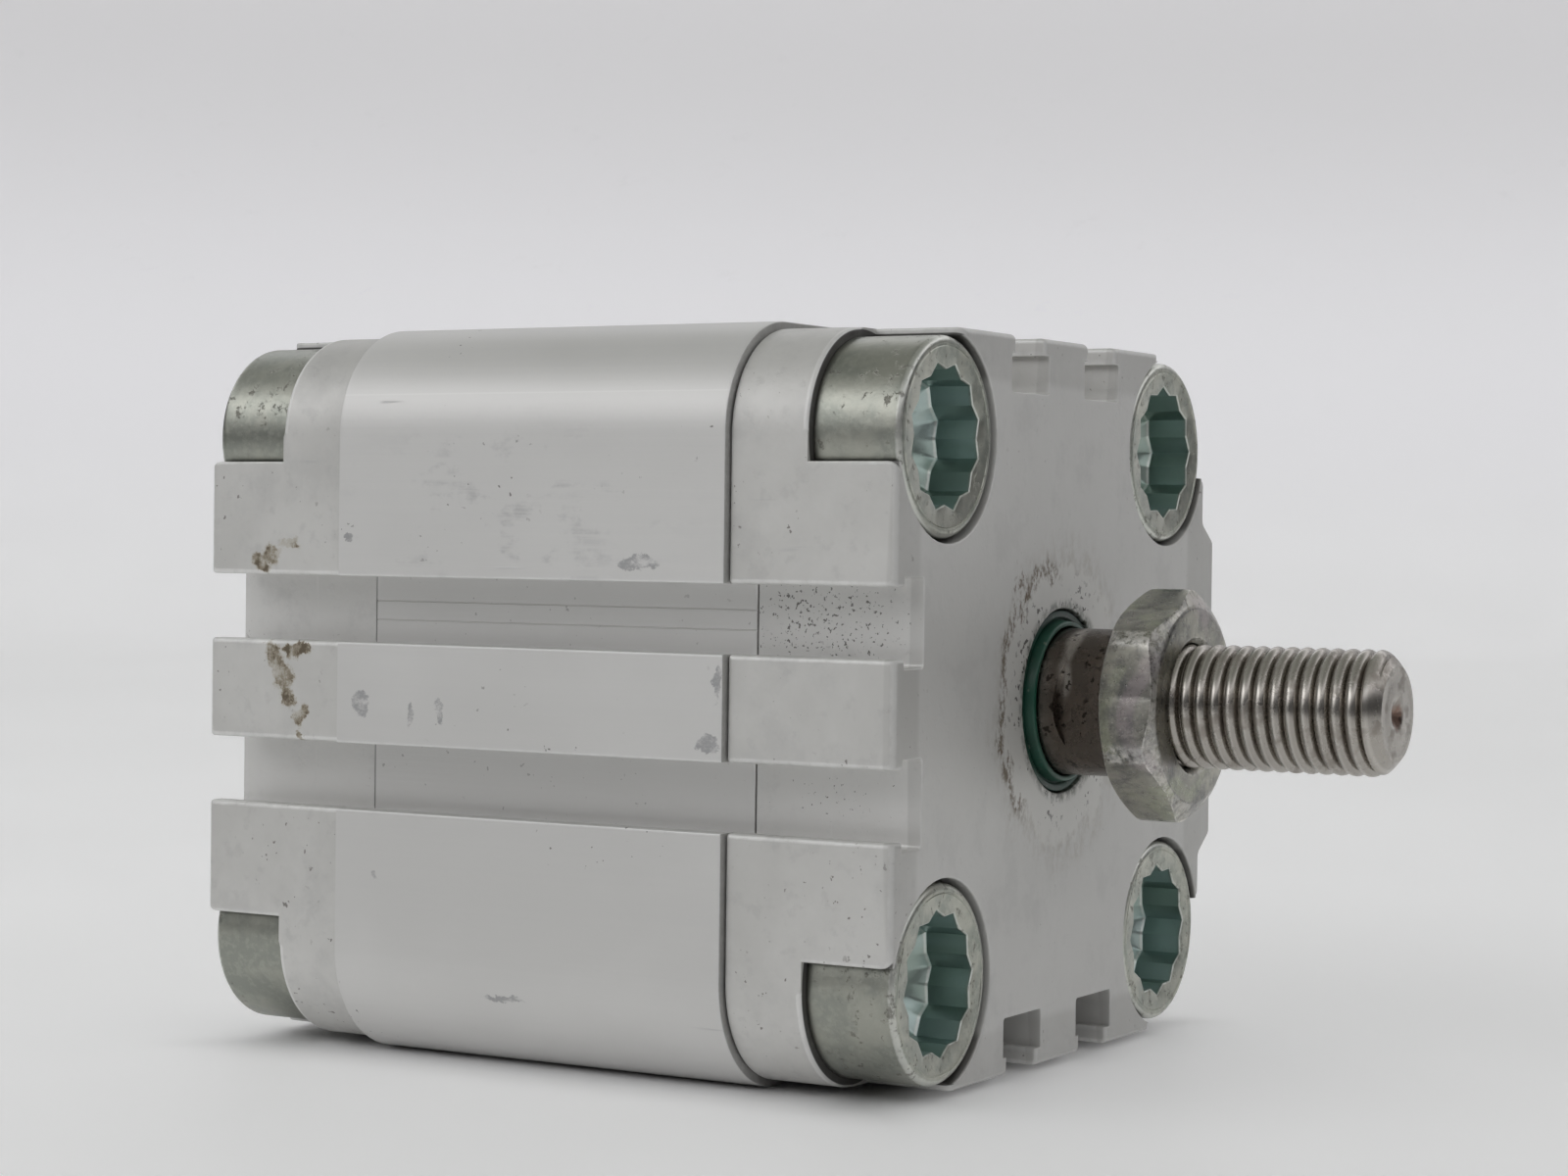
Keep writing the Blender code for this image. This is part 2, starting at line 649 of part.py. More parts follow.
def make_piston_half(name, x, direction, centre_profile, parent):
    """Half of the piston, from its outer face at x towards the split. centre_profile lists the
    points of its middle hole, from the outer face to the split."""
    split = PISTON_LENGTH / 2 - PISTON_SPLIT / 2
    seal_end = SEAL_START + SEAL_WIDTH
    outside = [
        (split, RING_GROOVE_RADIUS),
        (RING_GROOVE_START, RING_GROOVE_RADIUS),
        (RING_GROOVE_START, PISTON_RADIUS),
        (seal_end, PISTON_RADIUS),
        (seal_end, SEAL_GROOVE_RADIUS),
        (SEAL_START, SEAL_GROOVE_RADIUS),
        (SEAL_START, PISTON_RADIUS),
        (0.0, PISTON_RADIUS),
    ]
    profile = [(direction * depth, radius) for depth, radius in outside + centre_profile]
    place(name, turned(name, profile), "tumbled_aluminium", x, parent)


def make_piston(slider, spinner):
    split = PISTON_LENGTH / 2 - PISTON_SPLIT / 2
    tail_hole = ROD_TAIL_RADIUS + PISTON_CLEARANCE
    head_hole = PISTON_SCREW_HEAD_RADIUS + PISTON_CLEARANCE
    rod_hole = ROD_RADIUS + PISTON_CLEARANCE
    rod_seat = PISTON_LENGTH - ROD_SHOULDER + PISTON_CLEARANCE
    front = PISTON_REAR + PISTON_LENGTH
    rear_hole = [
        (0.0, head_hole),
        (ROD_TAIL_START, head_hole),
        (ROD_TAIL_START, tail_hole),
        (split, tail_hole),
    ]
    front_hole = [
        (0.0, rod_hole),
        (rod_seat, rod_hole),
        (rod_seat, tail_hole),
        (split, tail_hole),
    ]
    make_piston_half("piston_rear_half", PISTON_REAR, 1, rear_hole, spinner)
    make_piston_half("piston_front_half", front, -1, front_hole, spinner)

    groove = PISTON_LENGTH - 2 * RING_GROOVE_START - 2 * RIM_CLEARANCE
    start = PISTON_REAR + RING_GROOVE_START + RIM_CLEARANCE
    for name, (inside, outside), finish in (("piston_magnet", MAGNET_RADII, "bonded_magnet"),
                                            ("piston_guide_ring", GUIDE_RADII, "white_acetal")):
        profile = [(0.0, inside), (0.0, outside), (groove, outside), (groove, inside)]
        place(name, turned(name, profile, HIDDEN_SEGMENTS), finish, start, slider)

    width = SEAL_WIDTH - 2 * RIM_CLEARANCE
    inside = SEAL_GROOVE_RADIUS + RIM_CLEARANCE
    for name, direction, face in (("piston_rear_seal", 1, PISTON_REAR), ("piston_front_seal", -1, front)):
        profile = [
            (0.0, inside),
            (0.0, inside + SEAL_HEEL),
            (width - SEAL_LIP, SEAL_OUTER_RADIUS - SEAL_LIP),
            (width - SEAL_LIP, SEAL_OUTER_RADIUS),
            (width, SEAL_OUTER_RADIUS),
            (width, inside),
        ]
        profile = [(direction * (width - depth), radius) for depth, radius in profile]
        x = face + direction * (SEAL_START + RIM_CLEARANCE)
        place(name, turned(name, profile, HIDDEN_SEGMENTS), "black_rubber", x, slider)


def make_piston_screw(parent):
    """The screw that clamps the piston to the rod's tail. Its head's face is at x = 0."""
    shank_end = PISTON_SCREW_HEAD + PISTON_SCREW_LENGTH - 2 * PISTON_CLEARANCE
    profile = [
        (0.0, PISTON_SCREW_HEAD_RADIUS),
        (PISTON_SCREW_HEAD, PISTON_SCREW_HEAD_RADIUS),
        (PISTON_SCREW_HEAD, PISTON_SCREW_SHANK_RADIUS),
        (shank_end, PISTON_SCREW_SHANK_RADIUS),
    ]
    x = PISTON_REAR + ROD_TAIL_START - PISTON_SCREW_HEAD - 2 * PISTON_CLEARANCE
    mesh = turned("piston_screw", profile, HIDDEN_SEGMENTS, ring=False)
    screw = place("piston_screw", mesh, "zinc_plated_steel", x, parent)
    radius = PISTON_SCREW_KEY / 2 / math.cos(math.pi / 6)
    key = [(-OVERCUT, radius), (PISTON_SCREW_KEY_DEPTH, radius)]
    cut(screw, "piston_screw_key", turned("piston_screw_key", key, 6, ring=False), x)


def make_axes():
    """Two empties on the rod's axis, one for what slides and one for what also turns."""
    slider = bpy.data.objects.new("slide_axis", None)
    spinner = bpy.data.objects.new("spin_axis", None)
    spinner.parent = slider
    for empty in (slider, spinner):
        bpy.context.scene.collection.objects.link(empty)
    return slider, spinner


clear_scene()
make_materials()
make_barrel()
make_caps()
make_corner_screws()
make_cap_seals()
make_cushion_pads()
make_rod_guides()
slide_axis, spin_axis = make_axes()
make_piston(slide_axis, spin_axis)
make_piston_screw(spin_axis)
make_rod(spin_axis)
make_lock_nut(spin_axis)
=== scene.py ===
"""Looks of a compact pneumatic cylinder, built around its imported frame.

Every CAD node that shows gets a finer piece that stands for it: rounded edges, slots with lips,
hollow screws with twelve-point sockets, a true helical thread. Places and overall sizes are read
from the frame. Sizes are in millimetres, +X runs along the rod and +Z is up.
"""

import json
import math
from collections import namedtuple
from functools import reduce

import bmesh
import bpy
import numpy as np
from mathutils import Matrix, Vector


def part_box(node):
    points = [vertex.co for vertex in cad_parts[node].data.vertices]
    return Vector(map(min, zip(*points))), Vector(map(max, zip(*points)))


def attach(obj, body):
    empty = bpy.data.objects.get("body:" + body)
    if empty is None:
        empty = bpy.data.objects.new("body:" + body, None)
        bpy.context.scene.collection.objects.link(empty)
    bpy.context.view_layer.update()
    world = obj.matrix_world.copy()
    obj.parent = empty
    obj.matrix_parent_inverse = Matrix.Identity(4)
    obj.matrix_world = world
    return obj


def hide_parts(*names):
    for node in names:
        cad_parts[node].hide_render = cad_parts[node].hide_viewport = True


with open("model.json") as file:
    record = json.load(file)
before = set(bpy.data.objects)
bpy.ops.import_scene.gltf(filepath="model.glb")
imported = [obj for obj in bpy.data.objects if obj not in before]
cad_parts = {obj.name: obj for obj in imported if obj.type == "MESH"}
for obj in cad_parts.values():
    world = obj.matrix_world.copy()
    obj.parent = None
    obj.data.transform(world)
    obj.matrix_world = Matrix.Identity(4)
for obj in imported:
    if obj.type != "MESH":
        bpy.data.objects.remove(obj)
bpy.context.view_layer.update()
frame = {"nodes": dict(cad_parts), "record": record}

MM = 0.001
nodes = frame["nodes"]
behaviour = frame["record"]["behaviour"]
BODY_OF = {node: body for body, members in behaviour["bodies"].items() for node in members}
SLOT_OF = {part["node"]: part["material_slot"] for part in frame["record"]["subparts"]}


def box_of(node):
    """The low and the high corner of a CAD node's box."""
    return [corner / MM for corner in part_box(node)]


# Places and sizes that the frame gives
rear_low, rear_high = box_of("rear_cap")
front_low, front_high = box_of("front_cap")
barrel_low, barrel_high = box_of("barrel")
screw_low, screw_high = box_of("front_screw_upper_right")
rod_low, rod_high = box_of("piston_rod")
nut_low, nut_high = box_of("lock_nut")
wiper_low, wiper_high = box_of("rod_wiper_seal")

SPIGOT_LENGTH = 2.0
REAR_FACE = rear_low.x
REAR_JOINT = rear_high.x - SPIGOT_LENGTH
FRONT_FACE = front_high.x
FRONT_JOINT = front_low.x + SPIGOT_LENGTH
BARREL_END = barrel_high.x
CAP_HALF = -front_low.y
BARREL_HALF = -barrel_low.y
PAD_RISE = front_high.y - CAP_HALF
SCREW_OFFSET = (screw_low.y + screw_high.y) / 2
HEAD_RADIUS = (screw_high.y - screw_low.y) / 2
SCREW_LENGTH = screw_high.x - screw_low.x
REAR_SCREW_FACE = box_of("rear_screw_upper_right")[0].x
ROD_END = rod_high.x
ROD_TAIL = rod_low.x

# Section of the body
SLOT_OFFSET = 6.85
SLOT_THROAT = 2.70
SLOT_WIDTH = 3.45
SLOT_LIP = 1.45
SLOT_DEPTH = 4.60
SLOT_LINES = (-0.62, 0.96)
SLOT_LINE_HALF = 0.07
SLOT_LINE_DEPTH = 0.06
PAD_HALF = 13.3
PAD_FOOT = 15.0
POCKET_DEPTH = 7.7
POCKET_EDGE = 18.95
COUNTERBORE = 8.2
SCREW_HOLE = 5.1
BORE_RADIUS = 20.0
SPIGOT_RADIUS = 19.6
SEAL_SEAT_RADIUS = 21.4
SEAL_SEAT_DEPTH = 1.8

# How far edges are rounded, and how far wear reaches beside them
OUTER = 0.60
INNER = 0.12
POCKET_RIM = 1.00
POCKET_BOTTOM_RIM = 0.30
COUNTERBORE_RIM = 0.13
SUPPORT = 0.30
CAP_MOUTH = 0.35
WALL_END = 0.38
BARREL_MOUTH = 0.16
POCKET_FILLET = 0.18
LIP_FILLET = 0.08
SMALLEST_FILLET = 0.02
BODY_CORNER_FILLET = 3.0
ROUND_STEPS = 5

# Each corner's side along y and z, and how far the sockets of its two screws are turned, in degrees
CORNERS = {
    "lower_left": (-1, -1),
    "lower_right": (1, -1),
    "upper_right": (1, 1),
    "upper_left": (-1, 1),
}
FRONT_SOCKET_TURNS = {"lower_left": 5, "lower_right": 3, "upper_right": 2, "upper_left": 15}
REAR_SOCKET_TURNS = {"lower_left": 8, "lower_right": 20, "upper_right": 11, "upper_left": 26}


# ---------------------------------------------------------------- mesh tools

class Shell:
    """Strips of faces that are welded together and closed with flat faces, into one closed mesh.
    Each vertex holds two values for the materials: wear on edges, and deep inside a socket."""

    def __init__(self):
        self.bm = bmesh.new()
        self.wear = self.bm.verts.layers.float.new("wear")
        self.deep = self.bm.verts.layers.float.new("deep")

    def strip(self, loops, wear=None, deep=None, seam=0, closed=True):
        """Joins neighbouring loops of points with quads. wear and deep hold one value for each
        loop, or one for each point. seam is how many loops a full turn climbs, on a helix."""
        rows = []
        for number, loop in enumerate(loops):
            wears = np.broadcast_to(0.0 if wear is None else wear[number], len(loop))
            deeps = np.broadcast_to(0.0 if deep is None else deep[number], len(loop))
            row = []
            for point, worn, sunk in zip(loop, wears, deeps):
                vertex = self.bm.verts.new(point * MM)
                vertex[self.wear] = worn
                vertex[self.deep] = sunk
                row.append(vertex)
            rows.append(row)
        for number, (first, second) in enumerate(zip(rows, rows[1:])):
            for i in range(len(first) - 1):
                self.bm.faces.new((first[i], first[i + 1], second[i + 1], second[i]))
            if closed and number + 1 + seam < len(rows):
                low, high = rows[number + seam], rows[number + 1 + seam]
                self.bm.faces.new((first[-1], low[0], high[0], second[-1]))

    def lathe(self, profile, count, centre=(0.0, 0.0), wear=None):
        """Turns a profile of (x, radius) points around an axis along X."""
        self.strip([ring(x, radius, count, centre) for x, radius in profile], wear)

    def weld(self):
        bmesh.ops.remove_doubles(self.bm, verts=self.bm.verts, dist=1e-6)
        bmesh.ops.dissolve_degenerate(self.bm, edges=self.bm.edges, dist=1e-7)

    def close(self, x, inside=None):
        """Fills the flat opening that the open edges at x go round. inside(y, z) can pick some."""
        edges = []
        for edge in self.bm.edges:
            if edge.is_boundary and all(abs(v.co.x / MM - x) < 0.002 for v in edge.verts):
                middle = edge.verts[0].co + edge.verts[1].co
                if inside is None or inside(middle.y, middle.z):
                    edges.append(edge)
        bmesh.ops.triangle_fill(self.bm, use_beauty=True, edges=edges, normal=(1.0, 0.0, 0.0))

    def mesh(self, name, sharp=33):
        bmesh.ops.recalc_face_normals(self.bm, faces=self.bm.faces)
        mesh = bpy.data.meshes.new(name)
        self.bm.to_mesh(mesh)
        self.bm.free()
        finish_shading(mesh, sharp)
        return mesh


def turned(name, profile, count):
    """A mesh turned from a profile whose two ends lie on the axis."""
    shell = Shell()
    shell.lathe(profile, count)
    shell.weld()
    return shell.mesh(name)


def finish_shading(mesh, sharp):
    mesh.shade_smooth()
    mesh.set_sharp_from_angle(angle=math.radians(sharp))


def turn_angles(count):
    return np.linspace(0.0, 2 * math.pi, count, endpoint=False)


def quarter_turn(steps):
    """The cosines and sines of the angles from 0 to 90 degrees."""
    angles = np.linspace(0.0, math.pi / 2, steps + 1)
    return zip(np.cos(angles), np.sin(angles))


def ring(x, radius, count, centre=(0.0, 0.0)):
    """A loop of points around an axis along X. radius and x are numbers or one value a point."""
    angles = turn_angles(count)
    circle = np.column_stack([np.cos(angles), np.sin(angles)])
    return at_x(x, centre + circle * np.reshape(radius, (-1, 1)))


def at_x(x, points):
    """Points in space from (y, z) points."""
    return np.column_stack([np.broadcast_to(x, len(points)), points])


def rounded(profile, radius, steps=4):
    """The same profile with its inner corners rounded, so that turned edges catch the light."""
    points = [Vector(point) for point in profile]
    result = [points[0]]
    for before, corner, after in zip(points, points[1:], points[2:]):
        reach = min(radius, (before - corner).length * 0.45, (after - corner).length * 0.45)
        start = corner + (before - corner).normalized() * reach
        end = corner + (after - corner).normalized() * reach
        for step in range(steps + 1):
            share = step / steps
            result.append(start.lerp(corner, share).lerp(corner.lerp(end, share), share))
    result.append(points[-1])
    return [tuple(point) for point in result]


def link(name, data):
    item = bpy.data.objects.new(name, data)
    bpy.context.scene.collection.objects.link(item)
    return item


replaced = set()


def show(name, mesh, material, stands_for):
    """Adds a piece that stands for a CAD node, on that node's body, with the given material."""
    piece = link(name, mesh)
    mesh.materials.clear()
    mesh.materials.append(material)
    weighted = piece.modifiers.new("weighted_normals", "WEIGHTED_NORMAL")
    weighted.keep_sharp = True
    weighted.weight = 60
    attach(piece, BODY_OF[stands_for])
    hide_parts(stands_for)
    replaced.add(stands_for)


def subtract(mesh, cutters, sharp=33):
    """Takes closed shapes away from a mesh, exactly, and returns what is left."""
    body = link("body", mesh)
    tools = [link("tool", cutter) for cutter in cutters]
    for tool in tools:
        modifier = body.modifiers.new("cut", "BOOLEAN")
        modifier.solver = "EXACT"
        modifier.object = tool
    evaluated = body.evaluated_get(bpy.context.evaluated_depsgraph_get())
    result = bpy.data.meshes.new_from_object(evaluated)
    for item in [body, *tools]:
        bpy.data.objects.remove(item, do_unlink=True)
    finish_shading(result, sharp)
    return result


# ------------------------------------------------------- outlines of the body

# A corner of an outline: where it is, how it is rounded, how far the edge that leaves it is
# rounded at the outline's end, and how far before and after it an extra point stands.
Corner = namedtuple("Corner", "y z fillet steps edge lead_in lead_out", defaults=(0.0, 0, OUTER, 0.0, 0.0))


def mitre(first, second, a, b):
    """How a corner moves when its two edges, with outward normals first and second, move into
    the material by a and b."""
    turn = first[0] * second[1] - first[1] * second[0]
    if abs(turn) < 0.2:
        middle = first + second
        return -middle / np.linalg.norm(middle) * (a + b) / 2
    return np.array([(b * first[1] - a * second[1]) / turn, (a * second[0] - b * first[0]) / turn])


def trace(corners, inset):
    """Follows an outline anticlockwise. inset(edge) says how far each edge moves inward.
    Returns the points, each point's edge rounding, its wear, and whether it's on a body corner."""
    sharp = np.array([(corner.y, corner.z) for corner in corners])
    way = np.roll(sharp, -1, axis=0) - sharp
    way /= np.linalg.norm(way, axis=1)[:, None]
    out = np.column_stack([way[:, 1], -way[:, 0]])
    points = []
    facts = []

    def add(point, edge, wear=0.0, big=0.0):
        points.append(point)
        facts.append((edge, wear, big))

    for i, corner in enumerate(corners):
        before, after = corners[i - 1].edge, corner.edge
        a, b = inset(before), inset(after)
        place = sharp[i] + mitre(out[i - 1], out[i], a, b)
        if corner.steps == 0:
            add(place, (before + after) / 2)
            continue
        cross = way[i - 1][0] * way[i][1] - way[i - 1][1] * way[i][0]
        turn = math.atan2(cross, float(way[i - 1] @ way[i]))
        side = math.copysign(1.0, turn)
        radius = max(corner.fillet - side * (a + b) / 2, SMALLEST_FILLET)
        reach = radius * math.tan(abs(turn) / 2)
        start = place - way[i - 1] * reach
        spoke = out[i - 1] * side * radius
        big = corner.fillet > BODY_CORNER_FILLET
        worn = 0.8 if side > 0 and not big else 0.0
        if corner.lead_in:
            add(start - way[i - 1] * corner.lead_in, before)
        for step in range(corner.steps + 1):
            share = step / corner.steps
            c, s = math.cos(turn * share), math.sin(turn * share)
            arm = np.array([c * spoke[0] - s * spoke[1], s * spoke[0] + c * spoke[1]])
            add(start - spoke + arm, before + (after - before) * share, worn, big and 0 < step < corner.steps)
        if corner.lead_out:
            add(place + way[i] * (reach + corner.lead_out), after)
    return np.array(points), *np.array(facts, dtype=float).T


def slot_corners(half, centre, grooved, mouth):
    """A T-slot in the lower side, whose face is at z = -half, in the order of increasing y."""
    wall = WALL_END if mouth == CAP_MOUTH else INNER
    lip = -CAP_HALF + SLOT_LIP
    floor = -CAP_HALF + SLOT_DEPTH
    shape = [
        (SLOT_THROAT, -half, mouth, 5, 0.2),
        (SLOT_THROAT, lip, 0.10, 2, 0.0),
        (SLOT_WIDTH, lip, 0.12, 2, 0.0),
        (SLOT_WIDTH, floor, 0.30, 3, 0.0),
    ]
    left = [Corner(centre - y, z, fillet, steps, INNER, ahead, ahead) for y, z, fillet, steps, ahead in shape]
    right = [corner._replace(y=2 * centre - corner.y) for corner in reversed(left)]
    left[0] = left[0]._replace(edge=wall)
    right[-2] = right[-2]._replace(edge=wall)
    right[-1] = right[-1]._replace(edge=OUTER)
    lines = []
    for place in SLOT_LINES if grooved else ():
        for shift, depth in ((-SLOT_LINE_HALF, 0.0), (0.0, SLOT_LINE_DEPTH), (SLOT_LINE_HALF, 0.0)):
            lines.append(Corner(centre + place + shift, floor + depth, edge=INNER))
    return left + lines + right


def pad_corners(half):
    """The raised strip with the air ports, drawn in the lower side like the slots."""
    left = [
        Corner(-PAD_FOOT, -half, 0.5, 3, OUTER, SUPPORT, SUPPORT),
        Corner(-PAD_HALF, -CAP_HALF - PAD_RISE, 0.8, 4, OUTER, SUPPORT, SUPPORT),
    ]
    return left + [corner._replace(y=-corner.y) for corner in reversed(left)]


def pocket_path(half):
    """Round one corner of a cap where the pocket for a screw's head is open."""
    aside = SCREW_OFFSET - POCKET_EDGE
    reach = math.sqrt(COUNTERBORE ** 2 - aside ** 2)
    lip = SCREW_OFFSET + reach
    start = math.atan2(-reach, -aside)
    sweep = (math.atan2(aside, reach) - start) % (2 * math.pi) - 2 * math.pi
    path = [
        Corner(POCKET_EDGE, -half, POCKET_FILLET, 3, POCKET_RIM, SUPPORT),
        Corner(POCKET_EDGE, -lip, LIP_FILLET, 2, COUNTERBORE_RIM),
    ]
    for angle in start + sweep * np.arange(1, 30) / 30:
        path.append(Corner(SCREW_OFFSET + COUNTERBORE * math.cos(angle),
                           -SCREW_OFFSET + COUNTERBORE * math.sin(angle), edge=COUNTERBORE_RIM))
    path.append(Corner(lip, -POCKET_EDGE, LIP_FILLET, 2, POCKET_RIM))
    path.append(Corner(half, -POCKET_EDGE, POCKET_FILLET, 3, OUTER, 0.0, SUPPORT))
    return path


def closed_path(half):
    """Round the same corner where the cap is whole, with points where a pocket's edges begin."""
    edge = POCKET_EDGE - POCKET_FILLET
    before = [Corner(edge - SUPPORT, -half), Corner(edge, -half)]
    after = [Corner(half, -edge), Corner(half, SUPPORT - edge)]
    return before + [Corner(half, -half, half - SCREW_OFFSET, 26)] + after


def body_corners(half, corner_path, mouth, grooved):
    """The whole outline: slots below, the port strip at +Y, slots above and at -Y. mouth is how
    far the slots' edges are rounded. grooved adds two fine lines to every other slot's floor."""
    slotted = slot_corners(half, -SLOT_OFFSET, grooved, mouth) + slot_corners(half, SLOT_OFFSET, False, mouth)
    sides = [(slotted, 1, 0), (pad_corners(half), 0, 1), (slotted, -1, 0), (slotted, 0, -1)]
    corners = []
    for side, c, s in sides:
        for corner in side + corner_path(half):
            corners.append(corner._replace(y=c * corner.y - s * corner.z, z=s * corner.y + c * corner.z))
    return corners


def rounding_loops(corners, x_at, limit):
    """Loops that round the end of an outline, from the face inward. x_at(depth) places them and
    limit caps each edge's rounding. Returns the loops and their wear."""
    full, edge, worn, _ = trace(corners, lambda e: 0.0)
    face = trace(corners, lambda e: min(e, limit))[0]
    depth = np.minimum(edge, limit)
    loops, wears = [], []
    for c, s in quarter_turn(ROUND_STEPS):
        loops.append(at_x(x_at(depth * (1 - c)), full + (face - full) * (1 - s)))
        wears.append(np.maximum(2 * s * c, worn * s))
    return loops + [at_x(x_at(depth + SUPPORT), full)], wears + [worn]


# ------------------------------------------------------------------ the body

BORE_COUNT = 128
HOLE_COUNT = 48

PORT_SETBACK = 7.2
PORT_RADIUS = 4.3
PORT_MOUTH = 5.0
PORT_DEPTH = 8.5
PORT_PITCH = 0.9
PORT_TOP = CAP_HALF + PAD_RISE
DRILL_RADIUS = 2.5
DRILL_DEPTH = 12.5
PASSAGE_RADIUS = 1.3
PASSAGE_END = 14.3
PAD_SEAT_INSIDE, PAD_SEAT_OUTSIDE, PAD_SEAT_DEPTH = 8.65, 12.55, 0.9
WIPER_BORE = 7.6
WIPER_BORE_DEPTH = 4.85
BUSH_BORE = 7.15


def add_screw_holes(shell, start, end):
    for y_side, z_side in CORNERS.values():
        centre = (y_side * SCREW_OFFSET, z_side * SCREW_OFFSET)
        shell.lathe([(start, SCREW_HOLE), (end, SCREW_HOLE)], HOLE_COUNT, centre)


def barrel_mesh():
    shell = Shell()
    corners = body_corners(BARREL_HALF, closed_path, BARREL_MOUTH, True)
    rear, rear_wear = rounding_loops(corners, lambda d: REAR_JOINT + d, 0.06)
    front, front_wear = rounding_loops(corners, lambda d: BARREL_END - d, 0.12)
    shell.strip(rear + front[::-1], rear_wear + front_wear[::-1])
    rear_seat, front_seat = REAR_JOINT + SEAL_SEAT_DEPTH, BARREL_END - SEAL_SEAT_DEPTH
    bore = [
        (REAR_JOINT, SEAL_SEAT_RADIUS),
        (rear_seat, SEAL_SEAT_RADIUS),
        (rear_seat, BORE_RADIUS),
        (front_seat, BORE_RADIUS),
        (front_seat, SEAL_SEAT_RADIUS),
        (BARREL_END, SEAL_SEAT_RADIUS),
    ]
    shell.lathe(bore, BORE_COUNT)
    add_screw_holes(shell, REAR_JOINT, BARREL_END)
    shell.weld()
    shell.close(REAR_JOINT)
    shell.close(BARREL_END)
    return shell.mesh("barrel_surface")


def cap_mesh(name, face, inward, length, joint_rounding, hollow):
    """An end cap from its outer face inward. hollow is the profile of what is turned in it,
    from the outer face to the joint, as (depth, radius)."""
    def x_at(depth):
        return face + inward * depth

    shell = Shell()
    outer = body_corners(CAP_HALF, pocket_path, CAP_MOUTH, False)
    loops, wears = rounding_loops(outer, x_at, POCKET_RIM)
    full, _, worn, _ = trace(outer, lambda e: 0.0)
    shell.strip(loops + [at_x(x_at(POCKET_DEPTH), full)], wears + [worn])

    inner = body_corners(CAP_HALF, closed_path, CAP_MOUTH, False)
    full, _, worn, big = trace(inner, lambda e: 0.0)
    centres = np.sign(full) * SCREW_OFFSET
    pull = (full - centres) * (POCKET_BOTTOM_RIM / (CAP_HALF - SCREW_OFFSET)) * big[:, None]
    loops = []
    for c, s in quarter_turn(ROUND_STEPS):
        loops.append(at_x(x_at(POCKET_DEPTH + POCKET_BOTTOM_RIM * (1 - c)), full - pull * (1 - s)))
    wears = [np.maximum(big, worn)] * len(loops) + [worn]
    loops.append(at_x(x_at(POCKET_DEPTH + POCKET_BOTTOM_RIM + SUPPORT), full))
    back, back_wear = rounding_loops(inner, lambda d: x_at(length - d), joint_rounding)
    shell.strip(loops + back[::-1], wears + back_wear[::-1])

    shell.lathe([(x_at(depth), radius) for depth, radius in hollow], BORE_COUNT)
    add_screw_holes(shell, x_at(POCKET_DEPTH), x_at(length))
    shell.weld()
    for depth in (0.0, length, length + SPIGOT_LENGTH):
        shell.close(x_at(depth))
    for y_side, z_side in CORNERS.values():
        shell.close(x_at(POCKET_DEPTH), lambda y, z: y * y_side > 0 and z * z_side > 0)
    return subtract(shell.mesh(name), [port_cutter(x_at(PORT_SETBACK)), passage_cutter(x_at, length)])


def port_cutter(x):
    """A threaded air port: chamfered mouth, thread ridges and the drill's tip below."""
    chamfer = PORT_MOUTH - PORT_RADIUS
    bottom = PORT_TOP - PORT_DEPTH
    tip = PORT_TOP - DRILL_DEPTH
    above, below = PORT_TOP + chamfer, PORT_TOP - chamfer
    profile = [(above, 0.0), (above, PORT_MOUTH + chamfer), (below, PORT_RADIUS)]
    for turn in range(7):
        level = below - PORT_PITCH * (turn + 0.3)
        profile += [(level, PORT_RADIUS), (level - PORT_PITCH / 2, PORT_RADIUS + 0.4)]
    profile += [(bottom, PORT_RADIUS), (bottom, DRILL_RADIUS), (tip, DRILL_RADIUS), (tip, 0.0)]
    mesh = turned("port", profile, 64)
    mesh.transform(Matrix.Translation((x * MM, 0.0, 0.0)) @ Matrix.Rotation(math.pi / 2, 4, "Z"))
    return mesh


def passage_cutter(x_at, length):
    """The slanted drilling that leads from the port to the spigot's end."""
    start = Vector((x_at(PORT_SETBACK), PORT_TOP - DRILL_DEPTH + 0.5, 0.0))
    way = Vector((x_at(length + SPIGOT_LENGTH + 0.5), PASSAGE_END, 0.0)) - start
    far = way.length
    mesh = turned("passage", [(0.0, 0.0), (0.0, PASSAGE_RADIUS), (far, PASSAGE_RADIUS), (far, 0.0)], 24)
    mesh.transform(Matrix.Translation(start * MM) @ way.to_track_quat("X", "Z").to_matrix().to_4x4())
    return mesh


def spigot_profile(length):
    """From the middle of a spigot's end face out to the joint, with the cushion pad's seat."""
    end = length + SPIGOT_LENGTH
    seat = end - PAD_SEAT_DEPTH
    edge = 0.3
    return [
        (end, PAD_SEAT_INSIDE),
        (seat, PAD_SEAT_INSIDE),
        (seat, PAD_SEAT_OUTSIDE),
        (end, PAD_SEAT_OUTSIDE),
        (end, SPIGOT_RADIUS - edge),
        (end - edge, SPIGOT_RADIUS),
        (length, SPIGOT_RADIUS),
    ]


def front_hollow(length):
    """The seat of the wiper seal, the bush's bore and the spigot."""
    edge = 0.22
    seat = [(0.0, WIPER_BORE + edge + SUPPORT), (0.0, WIPER_BORE), (WIPER_BORE_DEPTH, WIPER_BORE)]
    bore = [(WIPER_BORE_DEPTH, BUSH_BORE), (length + SPIGOT_LENGTH, BUSH_BORE)]
    return rounded(seat, edge) + bore + spigot_profile(length)


# ---------------------------------------------------------------- the screws

